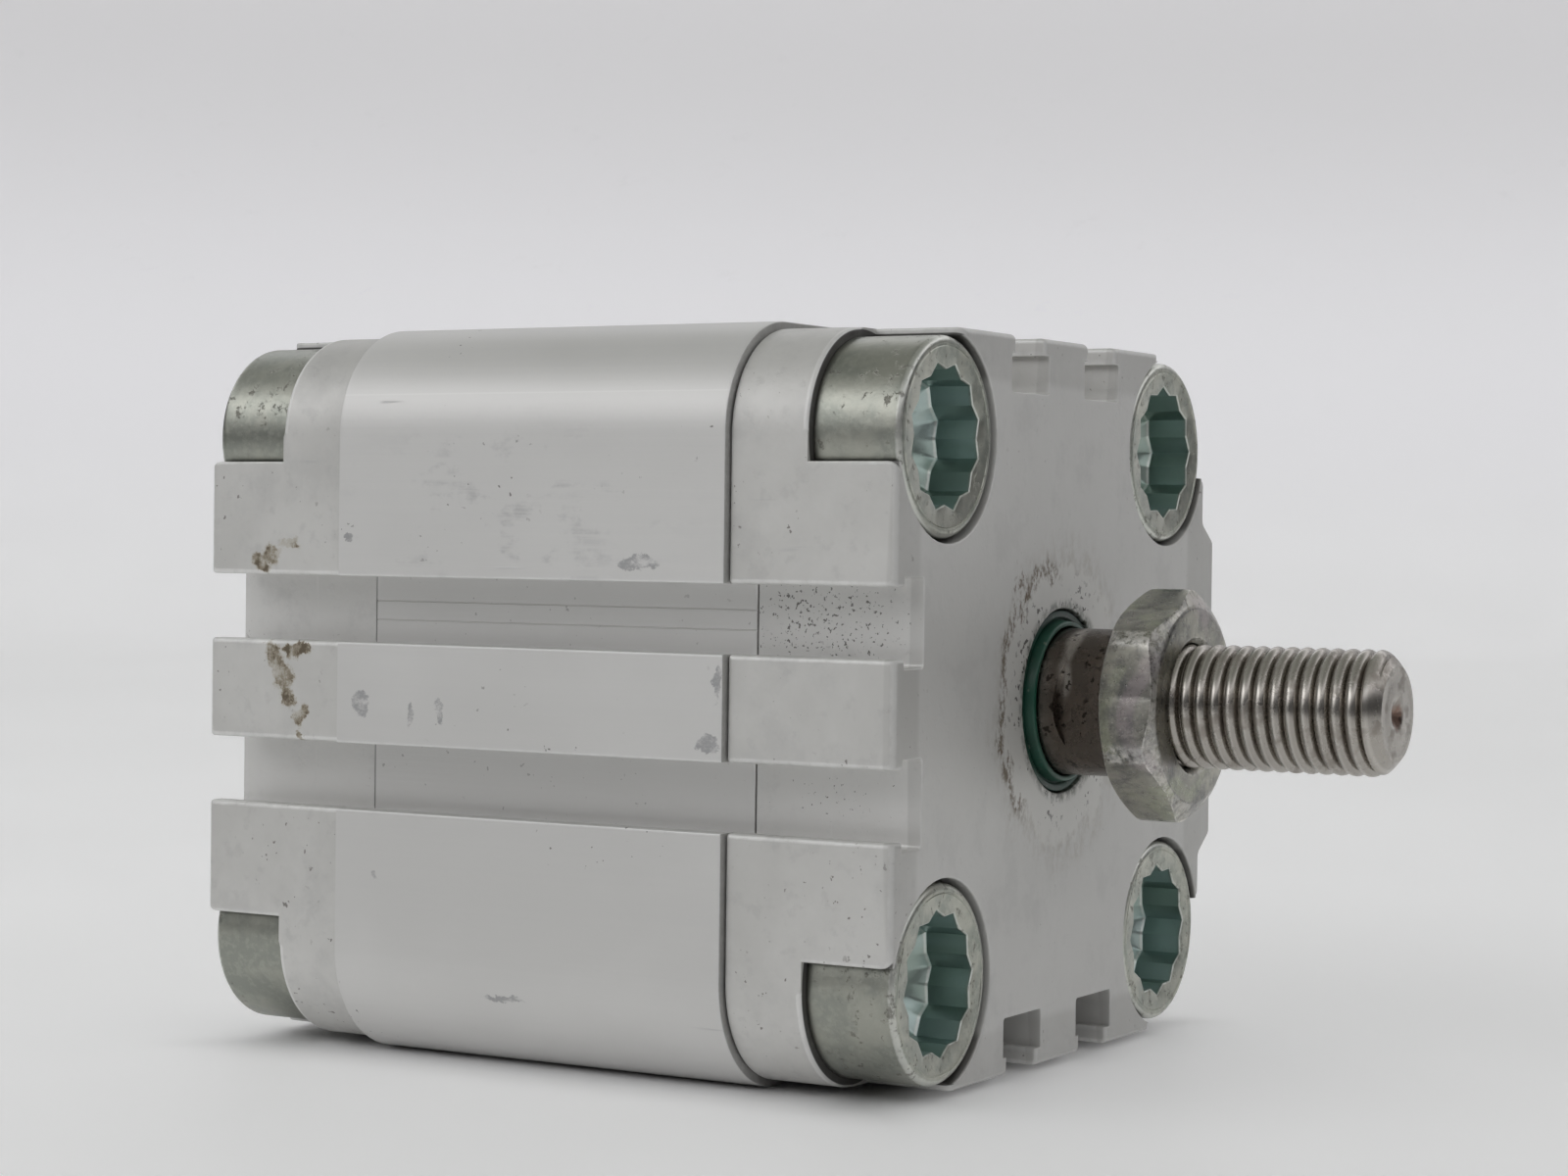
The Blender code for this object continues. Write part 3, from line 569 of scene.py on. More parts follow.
HEAD_LENGTH = 7.48
HEAD_ROUNDING = 0.55
SHANK_RADIUS = 4.75
SHANK_CHAMFER = 0.6
SOCKET_HALF = 5.0
SOCKET_POINTS = 12
SOCKET_DEPTH = 3.8
SOCKET_FLOOR = 5.0
SOCKET_FLOOR_RADIUS = 4.0
SCREW_BORE = 2.55
BORE_THREAD_TURNS = 12
BORE_THREAD_HEIGHT = 0.42
ROWS_PER_TURN = 6


def star(count):
    """The radius of a twelve-point socket at each of count angles: two hexagons, turned apart."""
    sixth = math.pi / 3
    angles = turn_angles(count)
    first, second = [SOCKET_HALF / np.cos((angles + turn) % sixth - sixth / 2) for turn in (0.0, sixth / 2)]
    return np.maximum(first, second)


def collar_screw_mesh():
    """A hollow collar screw with its head's face at x = 0 and its shank towards -X."""
    count = 12 * SOCKET_POINTS
    loops, wears, deeps = [], [], []

    def add(x, radius, wear=0.0, deep=0.0):
        loops.append(ring(x, radius, count))
        wears.append(wear)
        deeps.append(deep)

    land = HEAD_RADIUS - HEAD_ROUNDING
    outside = [(-SCREW_LENGTH, SCREW_BORE + 0.4), (-SCREW_LENGTH, SHANK_RADIUS - SHANK_CHAMFER),
               (SHANK_CHAMFER - SCREW_LENGTH, SHANK_RADIUS), (-HEAD_LENGTH, SHANK_RADIUS)]
    outside += rounded([(-HEAD_LENGTH, SHANK_RADIUS + 0.1), (-HEAD_LENGTH, HEAD_RADIUS),
                        (1.0 - HEAD_LENGTH, HEAD_RADIUS)], 0.25)
    for x, radius in outside + [(-HEAD_ROUNDING - SUPPORT, HEAD_RADIUS)]:
        add(x, radius)
    for c, s in quarter_turn(6):
        add(-HEAD_ROUNDING * (1 - s), land + HEAD_ROUNDING * c, 0.3 + 1.4 * s * c)
    face = [(-0.01, 0.12, 0.0), (-0.07, 0.17, 0.5), (-0.07, 0.23, 0.5), (-0.02, 0.3, 0.1), (-0.06, 0.55, 0)]
    for x, inward, wear in face:
        add(x, land - inward, wear)
    points = star(count)
    walls = [(-0.10, 0.16, 0.3, 0.0), (-0.13, 0.07, 1.0, 0.0), (-0.22, 0.0, 0.6, 0.5), (-0.5, 0.0, 0.0, 1.0),
             (0.08 - SOCKET_DEPTH, 0.0, 0.3, 1.0), (-SOCKET_DEPTH, -0.08, 1.0, 0.6)]
    for x, outward, wear, deep in walls:
        add(x, points + outward, wear, deep)
    for share, wear in ((0.25, 0.0), (0.5, 0.0), (0.75, 0.0), (1.0, 0.5)):
        depth = SOCKET_DEPTH + (SOCKET_FLOOR - SOCKET_DEPTH) * share
        add(-depth, points + (SOCKET_FLOOR_RADIUS - points) * share, wear, 0.8)
    floor = [(-SOCKET_FLOOR, SOCKET_FLOOR_RADIUS - 0.1), (-SOCKET_FLOOR - 0.35, 3.5),
             (-SOCKET_FLOOR - 0.6, SCREW_BORE + 0.4)]
    for x, radius in rounded(floor, 0.15, 3):
        add(x, radius, 0.3, 0.8)
    rows = BORE_THREAD_TURNS * ROWS_PER_TURN
    for row in range(rows):
        turned = row / ROWS_PER_TURN
        ridge = np.abs((turned + np.arange(count) / count) % 1.0 - 0.5) * 2
        fade = min(1.0, (rows - 1 - row) / ROWS_PER_TURN)
        wear = np.clip(0.8 - 2 * ridge, 0.0, 0.5)
        add(-SOCKET_FLOOR - 0.7 - turned, SCREW_BORE + BORE_THREAD_HEIGHT * ridge * fade, wear, 0.9)
    add(0.3 - SCREW_LENGTH, SCREW_BORE, 0.0, 0.9)
    add(*outside[0])
    shell = Shell()
    shell.strip(loops, wears, deeps)
    shell.weld()
    return shell.mesh("collar_screw", 28)


def show_corner_screws(material):
    pattern = collar_screw_mesh()
    ends = {
        "front": (screw_high.x, 0.0, FRONT_SOCKET_TURNS),
        "rear": (REAR_SCREW_FACE, math.pi, REAR_SOCKET_TURNS),
    }
    for end, (x, heading, turns) in ends.items():
        for corner, (y_side, z_side) in CORNERS.items():
            place = Vector((x, y_side * SCREW_OFFSET, z_side * SCREW_OFFSET)) * MM
            turn = Matrix.Rotation(heading, 4, "Z") @ Matrix.Rotation(math.radians(turns[corner]), 4, "X")
            mesh = pattern.copy()
            mesh.transform(Matrix.Translation(place) @ turn)
            show(f"{end}_collar_screw_{corner}", mesh, material, f"{end}_screw_{corner}")


# ------------------------------------------------- rod, nut and wiper seal

ROD_RADIUS = 6.0
SHOULDER = 72.1
NECK_RADIUS = 4.15
THREAD_START = SHOULDER + 1.2
CREST_RADIUS = 5.0
ROOT_RADIUS = 4.25
TIP_RADIUS = 3.75
TIP_LENGTH = 1.5
PITCH = 1.25
CREST_SETBACK = 0.29
ROD_COUNT = 96
ROWS_PER_PITCH = 12
TAIL_RADIUS = 4.0
TAIL_HOLE = 2.6
TAIL_LENGTH = 7.9
FLAT_LENGTH = 4.75
FLAT_TO_AXIS = 5.0
MILL_RADIUS = 8.3


def thread_strip(shell):
    """A right-hand thread with rounded crests, faded out at the neck and by the end's chamfer."""
    turns = math.ceil((ROD_END - THREAD_START) / PITCH) + 3
    first = ROD_END - CREST_SETBACK - PITCH * (turns - 1.5)
    climb = PITCH * np.arange(ROD_COUNT) / ROD_COUNT
    loops, wears = [], []
    for row in range(turns * ROWS_PER_PITCH + 1):
        phase = row / ROWS_PER_PITCH
        x = np.clip(first + PITCH * phase + climb, THREAD_START, ROD_END)
        height = abs(math.sin(math.pi * phase)) ** 0.5
        radius = ROOT_RADIUS + (CREST_RADIUS - ROOT_RADIUS) * height
        rise = np.clip((ROD_END - x) / TIP_LENGTH, 0.0, 1.0)
        end_limit = TIP_RADIUS + (CREST_RADIUS - TIP_RADIUS) * np.sin(rise * math.pi / 2)
        start_limit = NECK_RADIUS + (x - THREAD_START)
        loops.append(ring(x, np.minimum(np.minimum(radius, end_limit), start_limit), ROD_COUNT))
        wears.append(max(0.0, height - 0.9) * 6.0)
    shell.strip(loops, wears, seam=ROWS_PER_PITCH)


def flat_cutter(side):
    """A milled wrench flat, whose inner end is the arc that a round cutter leaves."""
    start = SHOULDER - FLAT_LENGTH
    end = SHOULDER + 0.6
    half = 6.5
    outline = [(end, half), (end, -half)]
    for z in np.linspace(-half, half, 41):
        outline.append((start + MILL_RADIUS - math.sqrt(MILL_RADIUS ** 2 - z ** 2), z))
    shell = Shell()
    shell.strip([np.array([(x, side * y, z) for x, z in outline]) for y in (FLAT_TO_AXIS, FLAT_TO_AXIS + 2)])
    bmesh.ops.holes_fill(shell.bm, edges=shell.bm.edges, sides=0)
    return shell.mesh("flat")


def rod_mesh():
    tail_shoulder = ROD_TAIL + TAIL_LENGTH
    hole_end = tail_shoulder + 0.1
    edge = 0.2
    body = [
        (hole_end, 0.0),
        (hole_end, TAIL_HOLE),
        (ROD_TAIL, TAIL_HOLE),
        (ROD_TAIL, TAIL_RADIUS - edge),
        (ROD_TAIL + edge, TAIL_RADIUS),
        (tail_shoulder, TAIL_RADIUS),
        (tail_shoulder, ROD_RADIUS - edge),
        (tail_shoulder + edge, ROD_RADIUS),
    ]
    body += rounded([(SHOULDER - 2, ROD_RADIUS), (SHOULDER, ROD_RADIUS), (SHOULDER, NECK_RADIUS)], 0.3)
    body.append((THREAD_START, NECK_RADIUS))
    tip = [(0.0, TIP_RADIUS), (0.0, 3.45), (0.0, 3.3), (-0.05, 2.7), (-0.02, 2.5), (-0.06, 1.7),
           (-0.03, 1.45), (-0.10, 1.1), (-0.45, 0.5), (-0.55, 0.0)]
    tip = [(ROD_END + x, radius) for x, radius in tip]
    shell = Shell()
    shell.lathe(body, ROD_COUNT)
    thread_strip(shell)
    shell.lathe(tip, ROD_COUNT, wear=[0.6, 0.5] + [0.0] * (len(tip) - 2))
    shell.weld()
    return subtract(shell.mesh("rod_surface", 40), [flat_cutter(-1), flat_cutter(1)], 30)


NUT_HALF = 8.5
NUT_CORNER = (nut_high.z - nut_low.z) / 2
NUT_FACE_RADIUS = 7.9
NUT_TURN = math.radians(83.3)
NUT_BORE = 5.1
NUT_MOUTH = 0.42


def nut_outline(count):
    """The hexagon's radius at count angles, with its corners rounded off, and the corners' wear."""
    from_corner = (turn_angles(count) - NUT_TURN + math.pi / 6) % (math.pi / 3) - math.pi / 6
    flat = NUT_HALF / np.cos(math.pi / 6 - np.abs(from_corner))
    cap = NUT_CORNER * (1 - 0.35 * from_corner ** 2)
    soft = 0.12
    radius = -soft * np.log(np.exp(-flat / soft) + np.exp(-cap / soft))
    wear = np.clip(1.6 - np.abs(np.degrees(from_corner)) / 4.0, 0.0, 1.0)
    return radius, wear


def nut_mesh():
    """The nut. side goes from the bore over a face to the hexagon: depths, radii and wear."""
    count = 288
    outline, corner_wear = nut_outline(count)
    cone_depth = np.maximum(outline - NUT_FACE_RADIUS, 0.05) * math.tan(math.radians(30))
    mouth_end = NUT_BORE + NUT_MOUTH
    side = [(NUT_MOUTH, NUT_BORE, 0.0), (0.0, mouth_end, 0.6), (0.0, mouth_end + 0.2, 0.2),
            (0.0, NUT_FACE_RADIUS - 0.35, 0.0), (0.02, NUT_FACE_RADIUS - 0.08, 0.5)]
    for share in np.arange(1, 7) / 7:
        side.append((cone_depth * share, NUT_FACE_RADIUS + (outline - NUT_FACE_RADIUS) * share, 0.5))
    for share in (0.0, 0.5, 1.0):
        crease = cone_depth + 0.10 * (share - 0.35)
        side.append((crease, outline - 0.04 + 0.03 * share, np.maximum(0.8 * (1 - share), corner_wear)))
    rear = [ring(nut_low.x + depth, radius, count) for depth, radius, _ in side]
    front = [ring(nut_high.x - depth, radius, count) for depth, radius, _ in reversed(side)]
    start, end = rear[-1][:, 0], front[0][:, 0]
    middle = [ring(start + (end - start) * share, outline, count) for share in (0.25, 0.5, 0.75)]
    wears = [wear for _, _, wear in side]
    shell = Shell()
    shell.strip(rear + middle + front + rear[:1], wears + [corner_wear] * 3 + wears[::-1] + [0.0])
    shell.weld()
    return shell.mesh("nut_surface", 24)


def wiper_mesh():
    """The wiper seal: a band in the cap and a thin raised lip that touches the rod."""
    inner, outer = wiper_low.x, wiper_high.x
    bore = 6.12
    band = -wiper_low.y
    profile = rounded([
        (inner, bore + 0.2),
        (inner, band),
        (FRONT_FACE - 0.25, band),
        (FRONT_FACE - 0.25, band - 0.55),
        (FRONT_FACE - 0.55, band - 0.75),
        (outer - 0.12, bore + 0.42),
        (outer, bore + 0.20),
        (outer - 0.1, bore),
        (FRONT_FACE - 0.6, bore + 0.2),
        (inner, bore + 0.2),
    ], 0.14, 3)
    shell = Shell()
    shell.lathe(profile, BORE_COUNT, wear=[1.0 if x > FRONT_FACE + 0.2 else 0.0 for x, _ in profile])
    shell.weld()
    return shell.mesh("wiper_surface", 40)


# ------------------------------------------------------------------ materials

class Value:
    """What a node gives out. Sums with it make new nodes."""

    def __init__(self, nodes, socket):
        self.nodes = nodes
        self.socket = socket

    def maths(self, operation, *others):
        return self.nodes.value("Math", dict(enumerate((self, *others))), 0, operation=operation)

    def __add__(self, other):
        return self.maths("ADD", other)

    def __sub__(self, other):
        return self.maths("SUBTRACT", other)

    def __mul__(self, other):
        return self.maths("MULTIPLY", other)

    def __abs__(self):
        return self.maths("ABSOLUTE")

    def most(self, other):
        return self.maths("MAXIMUM", other)

    def step(self, low, high):
        """0 below low, 1 above high and smooth between them; low can be the larger one."""
        values = {"Value": self, "From Min": low, "From Max": high}
        return self.nodes.value("MapRange", values, "Result", interpolation_type="SMOOTHSTEP")

    def scale(self, low, high):
        """Spreads 0..1 over low..high."""
        return self.nodes.value("MapRange", {"Value": self, "To Min": low, "To Max": high}, "Result")


class Nodes:
    """Shader nodes of a material or of the world."""

    def __init__(self, tree):
        self.tree = tree

    def node(self, kind, values, **settings):
        node = self.tree.nodes.new("ShaderNode" + kind)
        for key, value in settings.items():
            setattr(node, key, value)
        for key, value in values.items():
            self.put(node.inputs[key], value)
        return node

    def value(self, kind, values, output, **settings):
        return Value(self, self.node(kind, values, **settings).outputs[output])

    def put(self, socket, value):
        if isinstance(value, Value):
            self.tree.links.new(value.socket, socket)
        elif socket.type == "RGBA":
            socket.default_value = (*value, 1.0)
        else:
            socket.default_value = value

    def axes(self, place):
        return [Value(self, socket) for socket in self.node("SeparateXYZ", {0: place}).outputs]

    def mix(self, share, first, second):
        return self.value("Mix", {"Factor": share, 6: first, 7: second}, 2, data_type="RGBA")


class Paint(Nodes):
    """A material painted in coats. Noise scales are per metre, lengths are in millimetres."""

    def __init__(self, name, metallic=0.0):
        self.material = bpy.data.materials.new(name)
        self.material.use_nodes = True
        super().__init__(self.material.node_tree)
        self.shader = self.tree.nodes["Principled BSDF"]
        self.shader.inputs["Metallic"].default_value = metallic
        self.metres = self.value("TexCoord", {}, "Object")
        self.x, self.y, self.z = self.axes(self.vector("MULTIPLY", self.metres, (1000, 1000, 1000)))
        self.colour = self.normal = None

    def vector(self, operation, *values):
        output = "Value" if operation == "LENGTH" else "Vector"
        return self.value("VectorMath", dict(enumerate(values)), output, operation=operation)

    def noise(self, scale, stretch=(1, 1, 1), turn=(0, 0, 0), shift=(0, 0, 0),
              detail=3.0, rough=0.55, warp=0.0):
        values = {"Vector": self.metres, "Scale": stretch, "Rotation": turn, "Location": shift}
        place = self.value("Mapping", values, "Vector")
        values = {"Vector": place, "Scale": scale, "Detail": detail, "Roughness": rough, "Distortion": warp}
        return self.value("TexNoise", values, "Fac")

    def ragged_place(self, scale, amount):
        """The place, moved about by noise. Marks that are laid out on it get ragged edges."""
        values = {"Vector": self.metres, "Scale": scale, "Detail": 8.0, "Roughness": 0.7}
        middle = self.vector("SUBTRACT", self.value("TexNoise", values, "Color"), (0.5, 0.5, 0.5))
        return self.vector("MULTIPLY_ADD", middle, (amount * MM,) * 3, self.metres)

    def near(self, centre, reach, place=None):
        """1 at centre, falling to 0 at an ellipsoid of the given half sizes."""
        centre, reach = [tuple(value * MM for value in values) for values in (centre, reach)]
        offset = self.vector("SUBTRACT", place or self.metres, centre)
        return self.vector("LENGTH", self.vector("DIVIDE", offset, reach)).step(1.0, 0.0)

    def in_slots(self):
        """1 on the floors of the T-slots and 0 outside them."""
        return abs(self.y).most(abs(self.z)).step(CAP_HALF - 3.4, CAP_HALF - 4.3)

    def from_rod(self):
        """The distance from the rod's axis."""
        return self.vector("LENGTH", self.vector("MULTIPLY", self.metres, (0, 1000, 1000)))

    def from_screw(self):
        """The distance from the nearest corner screw's axis."""
        aside, above = abs(self.y) - SCREW_OFFSET, abs(self.z) - SCREW_OFFSET
        return (aside * aside + above * above).maths("SQRT")

    def held(self, name):
        return self.value("Attribute", {}, "Fac", attribute_name=name)

    def base(self, share, first, second):
        self.colour = self.mix(share, first, second)

    def coat(self, share, strength, colour):
        """Lays a colour over the coats below, as strongly as share times strength says."""
        self.colour = self.mix(share * strength, self.colour, colour)

    def relief(self, height, distance):
        """Adds relief up to distance high, on top of any that is there."""
        values = {"Height": height, "Distance": distance * MM, "Strength": 1.0}
        if self.normal:
            values["Normal"] = self.normal
        self.normal = self.value("Bump", values, "Normal")

    def finish(self, roughness):
        self.put(self.shader.inputs["Base Color"], self.colour)
        self.put(self.shader.inputs["Roughness"], roughness)
        if self.normal:
            self.put(self.shader.inputs["Normal"], self.normal)
        return self.material


def scratches(paint, scale, turn, share, seed):
    """Thin, broken, straight scratches in one direction."""
    lines = paint.noise(scale, (0.06, 1, 1), turn, (seed, seed, seed), 2.0, 0.4)
    patches = paint.noise(scale * 0.06, shift=(seed, 0, seed), detail=2.0)
    return lines.step(0.70, 0.76) * patches.step(1.0 - share, 1.05 - share)


def specks(paint, low, patch_scale, share):
    """Small ragged specks that gather in patches. A lower low gives more and larger ones."""
    dots = paint.noise(1500.0, shift=(3, 8, 5), detail=2.0, rough=0.6)
    patches = paint.noise(patch_scale, shift=(6, 2, 9))
    return dots.step(low, low + 0.03) * patches.step(1.0 - share, 1.1 - share)


# Scuffs on the barrel's plain side: x, z and half sizes along x, y and z
SCUFFS = [
    (16.6, -0.9, 1.5, 1, 1.9), (21.4, -1.6, 0.5, 1, 1.9), (24.3, -1.2, 0.6, 1, 2.1),
    (49.6, -2.6, 1.7, 1, 1.2), (50.4, 1.8, 0.6, 1, 2.4), (14.9, 12.7, 0.8, 1, 0.8),
    (18.0, -14.6, 0.45, 1, 0.6), (43.0, 11.0, 3.2, 1, 1.2), (30.5, -24.0, 4.0, 3, 0.5),
]
# Dried oil on the rear cap's plain side: x, z and half sizes along x and z
OIL_SPOTS = [
    (5.5, 10.4, 1.5, 1.2), (6.7, 11.2, 1.5, 1.3), (8.4, 12.3, 1.9, 0.8),
    (6.8, 3.0, 1.7, 1.6), (9.4, 3.4, 2.0, 1.0), (7.6, 1.3, 1.6, 2.3),
    (8.3, -0.6, 1.1, 1.5), (9.8, -1.9, 0.8, 1.5), (9.8, -3.7, 0.6, 0.9),
]
OIL_REACH = 1.15
# Painted light: a lighter colour for the T-slots' floors, which lie in shade.
SLOT_FLOOR_PAINTED_LIGHT = (0.86, 0.855, 0.84)


def anodised_barrel():
    paint = Paint("anodised_barrel", metallic=0.45)
    broad = paint.noise(45.0, (0.6, 1, 1), detail=4.0)
    drawn = paint.noise(2600.0, (0.006, 1, 1), rough=0.6)
    paint.base(broad.step(0.35, 0.65), (0.66, 0.655, 0.64), (0.71, 0.705, 0.69))
    paint.coat(drawn, 0.16, (0.56, 0.56, 0.57))
    wear = paint.held("wear") * paint.noise(900.0, detail=4.0).scale(0.5, 1.5)
    paint.coat(wear.step(0.35, 0.9), 0.35, (0.86, 0.86, 0.86))
    marks = scratches(paint, 1400.0, (0, 1.1, 0), 0.42, 3)
    marks = marks.most(scratches(paint, 1300.0, (0, -0.5, 0), 0.40, 7))
    paint.coat(marks, 0.35, (0.40, 0.40, 0.42))
    rubbed = paint.noise(190.0, (1, 1, 1.6), shift=(2, 1, 4), detail=5.0, rough=0.65).step(0.52, 0.64)
    streaky = paint.noise(1500.0, (0.05, 1, 1)).step(0.35, 0.62)
    paint.coat(paint.near((31, -27, 15), (22, 9, 11)) * rubbed * streaky, 0.42, (0.07, 0.07, 0.10))
    paint.coat(specks(paint, 0.70, 60.0, 0.46), 0.8, (0.10, 0.09, 0.085))
    # Painted light: the slot floors are painted lighter to make up for their shade.
    paint.coat(paint.in_slots(), 0.45, SLOT_FLOOR_PAINTED_LIGHT)
    die_line = paint.z.step(24.30, 24.38) * paint.z.step(24.50, 24.42)
    paint.coat(die_line, 0.15, (0.92, 0.92, 0.91))
    grime = paint.in_slots() * paint.x.step(REAR_JOINT + 0.15, REAR_JOINT + 0.09)
    paint.coat(grime, 0.75, (0.10, 0.10, 0.095))
    sawn = paint.x.step(BARREL_END - 0.06, BARREL_END - 0.01)
    sawn = sawn.most(paint.x.step(REAR_JOINT + 0.03, REAR_JOINT))
    paint.coat(sawn, paint.noise(1300.0, detail=5.0, rough=0.7).scale(0.20, 0.70), (0.20, 0.195, 0.185))
    bruised = paint.noise(900.0, (0.5, 1, 0.8), (0, 0.7, 0), detail=7.0, rough=0.8)
    place = paint.ragged_place(420.0, 2.6)
    for x, z, *reach in SCUFFS:
        bruise = paint.near((x, -BARREL_HALF, z), reach, place).step(0.0, 0.5) * bruised
        paint.coat(bruise.step(0.36, 0.56), 0.60, (0.20, 0.20, 0.22))
    paint.relief(drawn, 0.010)
    paint.relief(paint.noise(2400.0, detail=2.0), 0.006)
    paint.relief(marks, 0.02)
    return paint.finish(broad.scale(0.40, 0.50) + marks * 0.12)


def tumbled_aluminium(name, face, add_dirt_and_shade):
    """Tumbled casting with its outer face at x = face, with painted shade in the gaps round the screws'
    heads.
    add_dirt_and_shade(paint) lays its own marks over it, and on the front cap painted shade too."""
    paint = Paint(name, metallic=0.40)
    broad = paint.noise(70.0, detail=5.0, rough=0.6)
    mottle = paint.noise(520.0, detail=4.0, rough=0.6)
    dents = paint.noise(620.0, shift=(5, 2, 1), detail=5.0, rough=0.6).step(0.56, 0.70)
    paint.base(broad.step(0.35, 0.65), (0.61, 0.605, 0.585), (0.69, 0.685, 0.665))
    paint.coat(mottle, 0.30, (0.53, 0.525, 0.51))
    paint.coat(dents, 0.25, (0.46, 0.455, 0.45))
    wear = paint.held("wear") * paint.noise(1100.0, detail=5.0).scale(0.35, 1.65)
    paint.coat(wear.step(0.35, 0.95), 0.5, (0.90, 0.90, 0.89))
    # Painted shade: inside the counterbores, deeper than 0.3 mm below the outer face, the cap is painted near
    # black where the gaps round the screws' heads lie in shade.
    screw_gap_painted_shade = paint.from_screw().step(8.42, 8.34) * abs(paint.x - face).step(0.10, 0.30)
    paint.coat(screw_gap_painted_shade, 0.92, (0.045, 0.042, 0.038))
    scuffs = scratches(paint, 1100.0, (0.4, 0.9, 0.2), 0.42, 1)
    scuffs = scuffs.most(scratches(paint, 1500.0, (0.3, -0.8, 1.3), 0.40, 9))
    paint.coat(scuffs, 0.4, (0.38, 0.38, 0.40))
    paint.coat(specks(paint, 0.69, 90.0, 0.50), 0.75, (0.13, 0.11, 0.10))
    # Painted light: the slot floors are painted lighter to make up for their shade.
    paint.coat(paint.in_slots(), 0.62, SLOT_FLOOR_PAINTED_LIGHT)
    clouds = paint.noise(150.0, shift=(9, 4, 2), detail=6.0, rough=0.7)
    paint.coat(clouds.step(0.50, 0.66), 0.20, (0.44, 0.44, 0.44))
    add_dirt_and_shade(paint)
    paint.relief(mottle, 0.022)
    paint.relief(paint.noise(2600.0, detail=2.0), 0.010)
    paint.relief(dents + scuffs, 0.010)
    return paint.finish(mottle.scale(0.42, 0.56))


def front_cap_dirt_and_shade(paint):
    """Painted shade that darkens the whole front face, a cleaner patch with a brown ragged edge round the
    rod, specks beside the seal, and pits.
    """
    on_face = paint.near((FRONT_FACE, 0, 0), (2, 40, 40)).step(0.02, 0.06)
    radius = paint.from_rod()
    ragged = radius + paint.noise(260.0, (1, 1, 0.8), detail=7.0, rough=0.66).scale(-4.2, 4.2)
    fine = paint.noise(1100.0, (1, 1, 0.6), detail=6.0, rough=0.75)
    # Painted shade: the whole front face is painted darker, as it faces away from the light.
    paint.coat(on_face, 0.40, (0.47, 0.465, 0.45))
    paint.coat(ragged.step(11.6, 10.8) * on_face, 0.35, (0.78, 0.77, 0.73))
    film = ragged.step(15.0, 11.0) * ragged.step(10.6, 11.4) * on_face
    paint.coat(film * fine.step(0.40, 0.62), 0.30, (0.34, 0.30, 0.24))
    sides = paint.near((FRONT_FACE, -9.5, 0.5), (3, 5.5, 17))
    sides = sides.most(paint.near((FRONT_FACE, -6, 9.5), (3, 8, 4.5)))
    rim = ragged.step(10.4, 11.1) * ragged.step(12.8, 11.6) * sides.step(0.10, 0.45) * on_face
    paint.coat(rim * fine.step(0.44, 0.56), 0.85, (0.14, 0.10, 0.06))
    splash = paint.near((FRONT_FACE, -8.2, 8.6), (3, 2.2, 3.2)).step(0.05, 0.4)
    paint.coat(splash * fine.step(0.52, 0.60) * on_face, 0.8, (0.13, 0.08, 0.045))
    dots = paint.noise(1500.0, shift=(2, 6, 4), detail=2.0).step(0.60, 0.63) * radius.step(11.5, 8.5)
    paint.coat(dots * paint.noise(300.0, detail=2.0).step(0.44, 0.54) * on_face, 0.9, (0.06, 0.05, 0.045))
    paint.coat(radius.step(8.6, 7.9) * fine.step(0.38, 0.60) * on_face, 0.7, (0.07, 0.08, 0.06))
    upper_slot = paint.near((56.5, -24.95, 6.6), (15, 1.2, 9))
    lower_slot = paint.near((58, -24.95, -6.8), (8, 1.2, 5))
    pits = paint.noise(3300.0, shift=(1, 4, 2), detail=2.0, rough=0.6)
    pits = pits + upper_slot.most(lower_slot * 0.6).scale(-0.16, 0.02)
    paint.coat(pits.step(0.60, 0.66), 0.85, (0.10, 0.095, 0.085))


def rear_cap_dirt(paint):
    """Brown dried oil in ragged marks on two of the ribs."""
    place = paint.ragged_place(380.0, 3.6)
    spots = []
    for x, z, wide, high in OIL_SPOTS:
        spots.append(paint.near((x, -CAP_HALF, z), (wide * OIL_REACH, 3, high * OIL_REACH), place))
    area = reduce(Value.most, spots)
    broad = paint.noise(430.0, (1, 1, 0.8), shift=(2, 7, 1), detail=7.0, rough=0.72)
    fine = paint.noise(1500.0, shift=(5, 1, 8), detail=5.0, rough=0.7)
    ragged = area.step(0.0, 0.6) * (broad + fine.scale(-0.15, 0.15))
    paint.coat(ragged.step(0.20, 0.46), 0.45, (0.40, 0.35, 0.25))
    paint.coat(ragged.step(0.40, 0.52), 0.70, (0.20, 0.155, 0.09))
    paint.coat(ragged.step(0.50, 0.58), 0.75, (0.09, 0.065, 0.04))


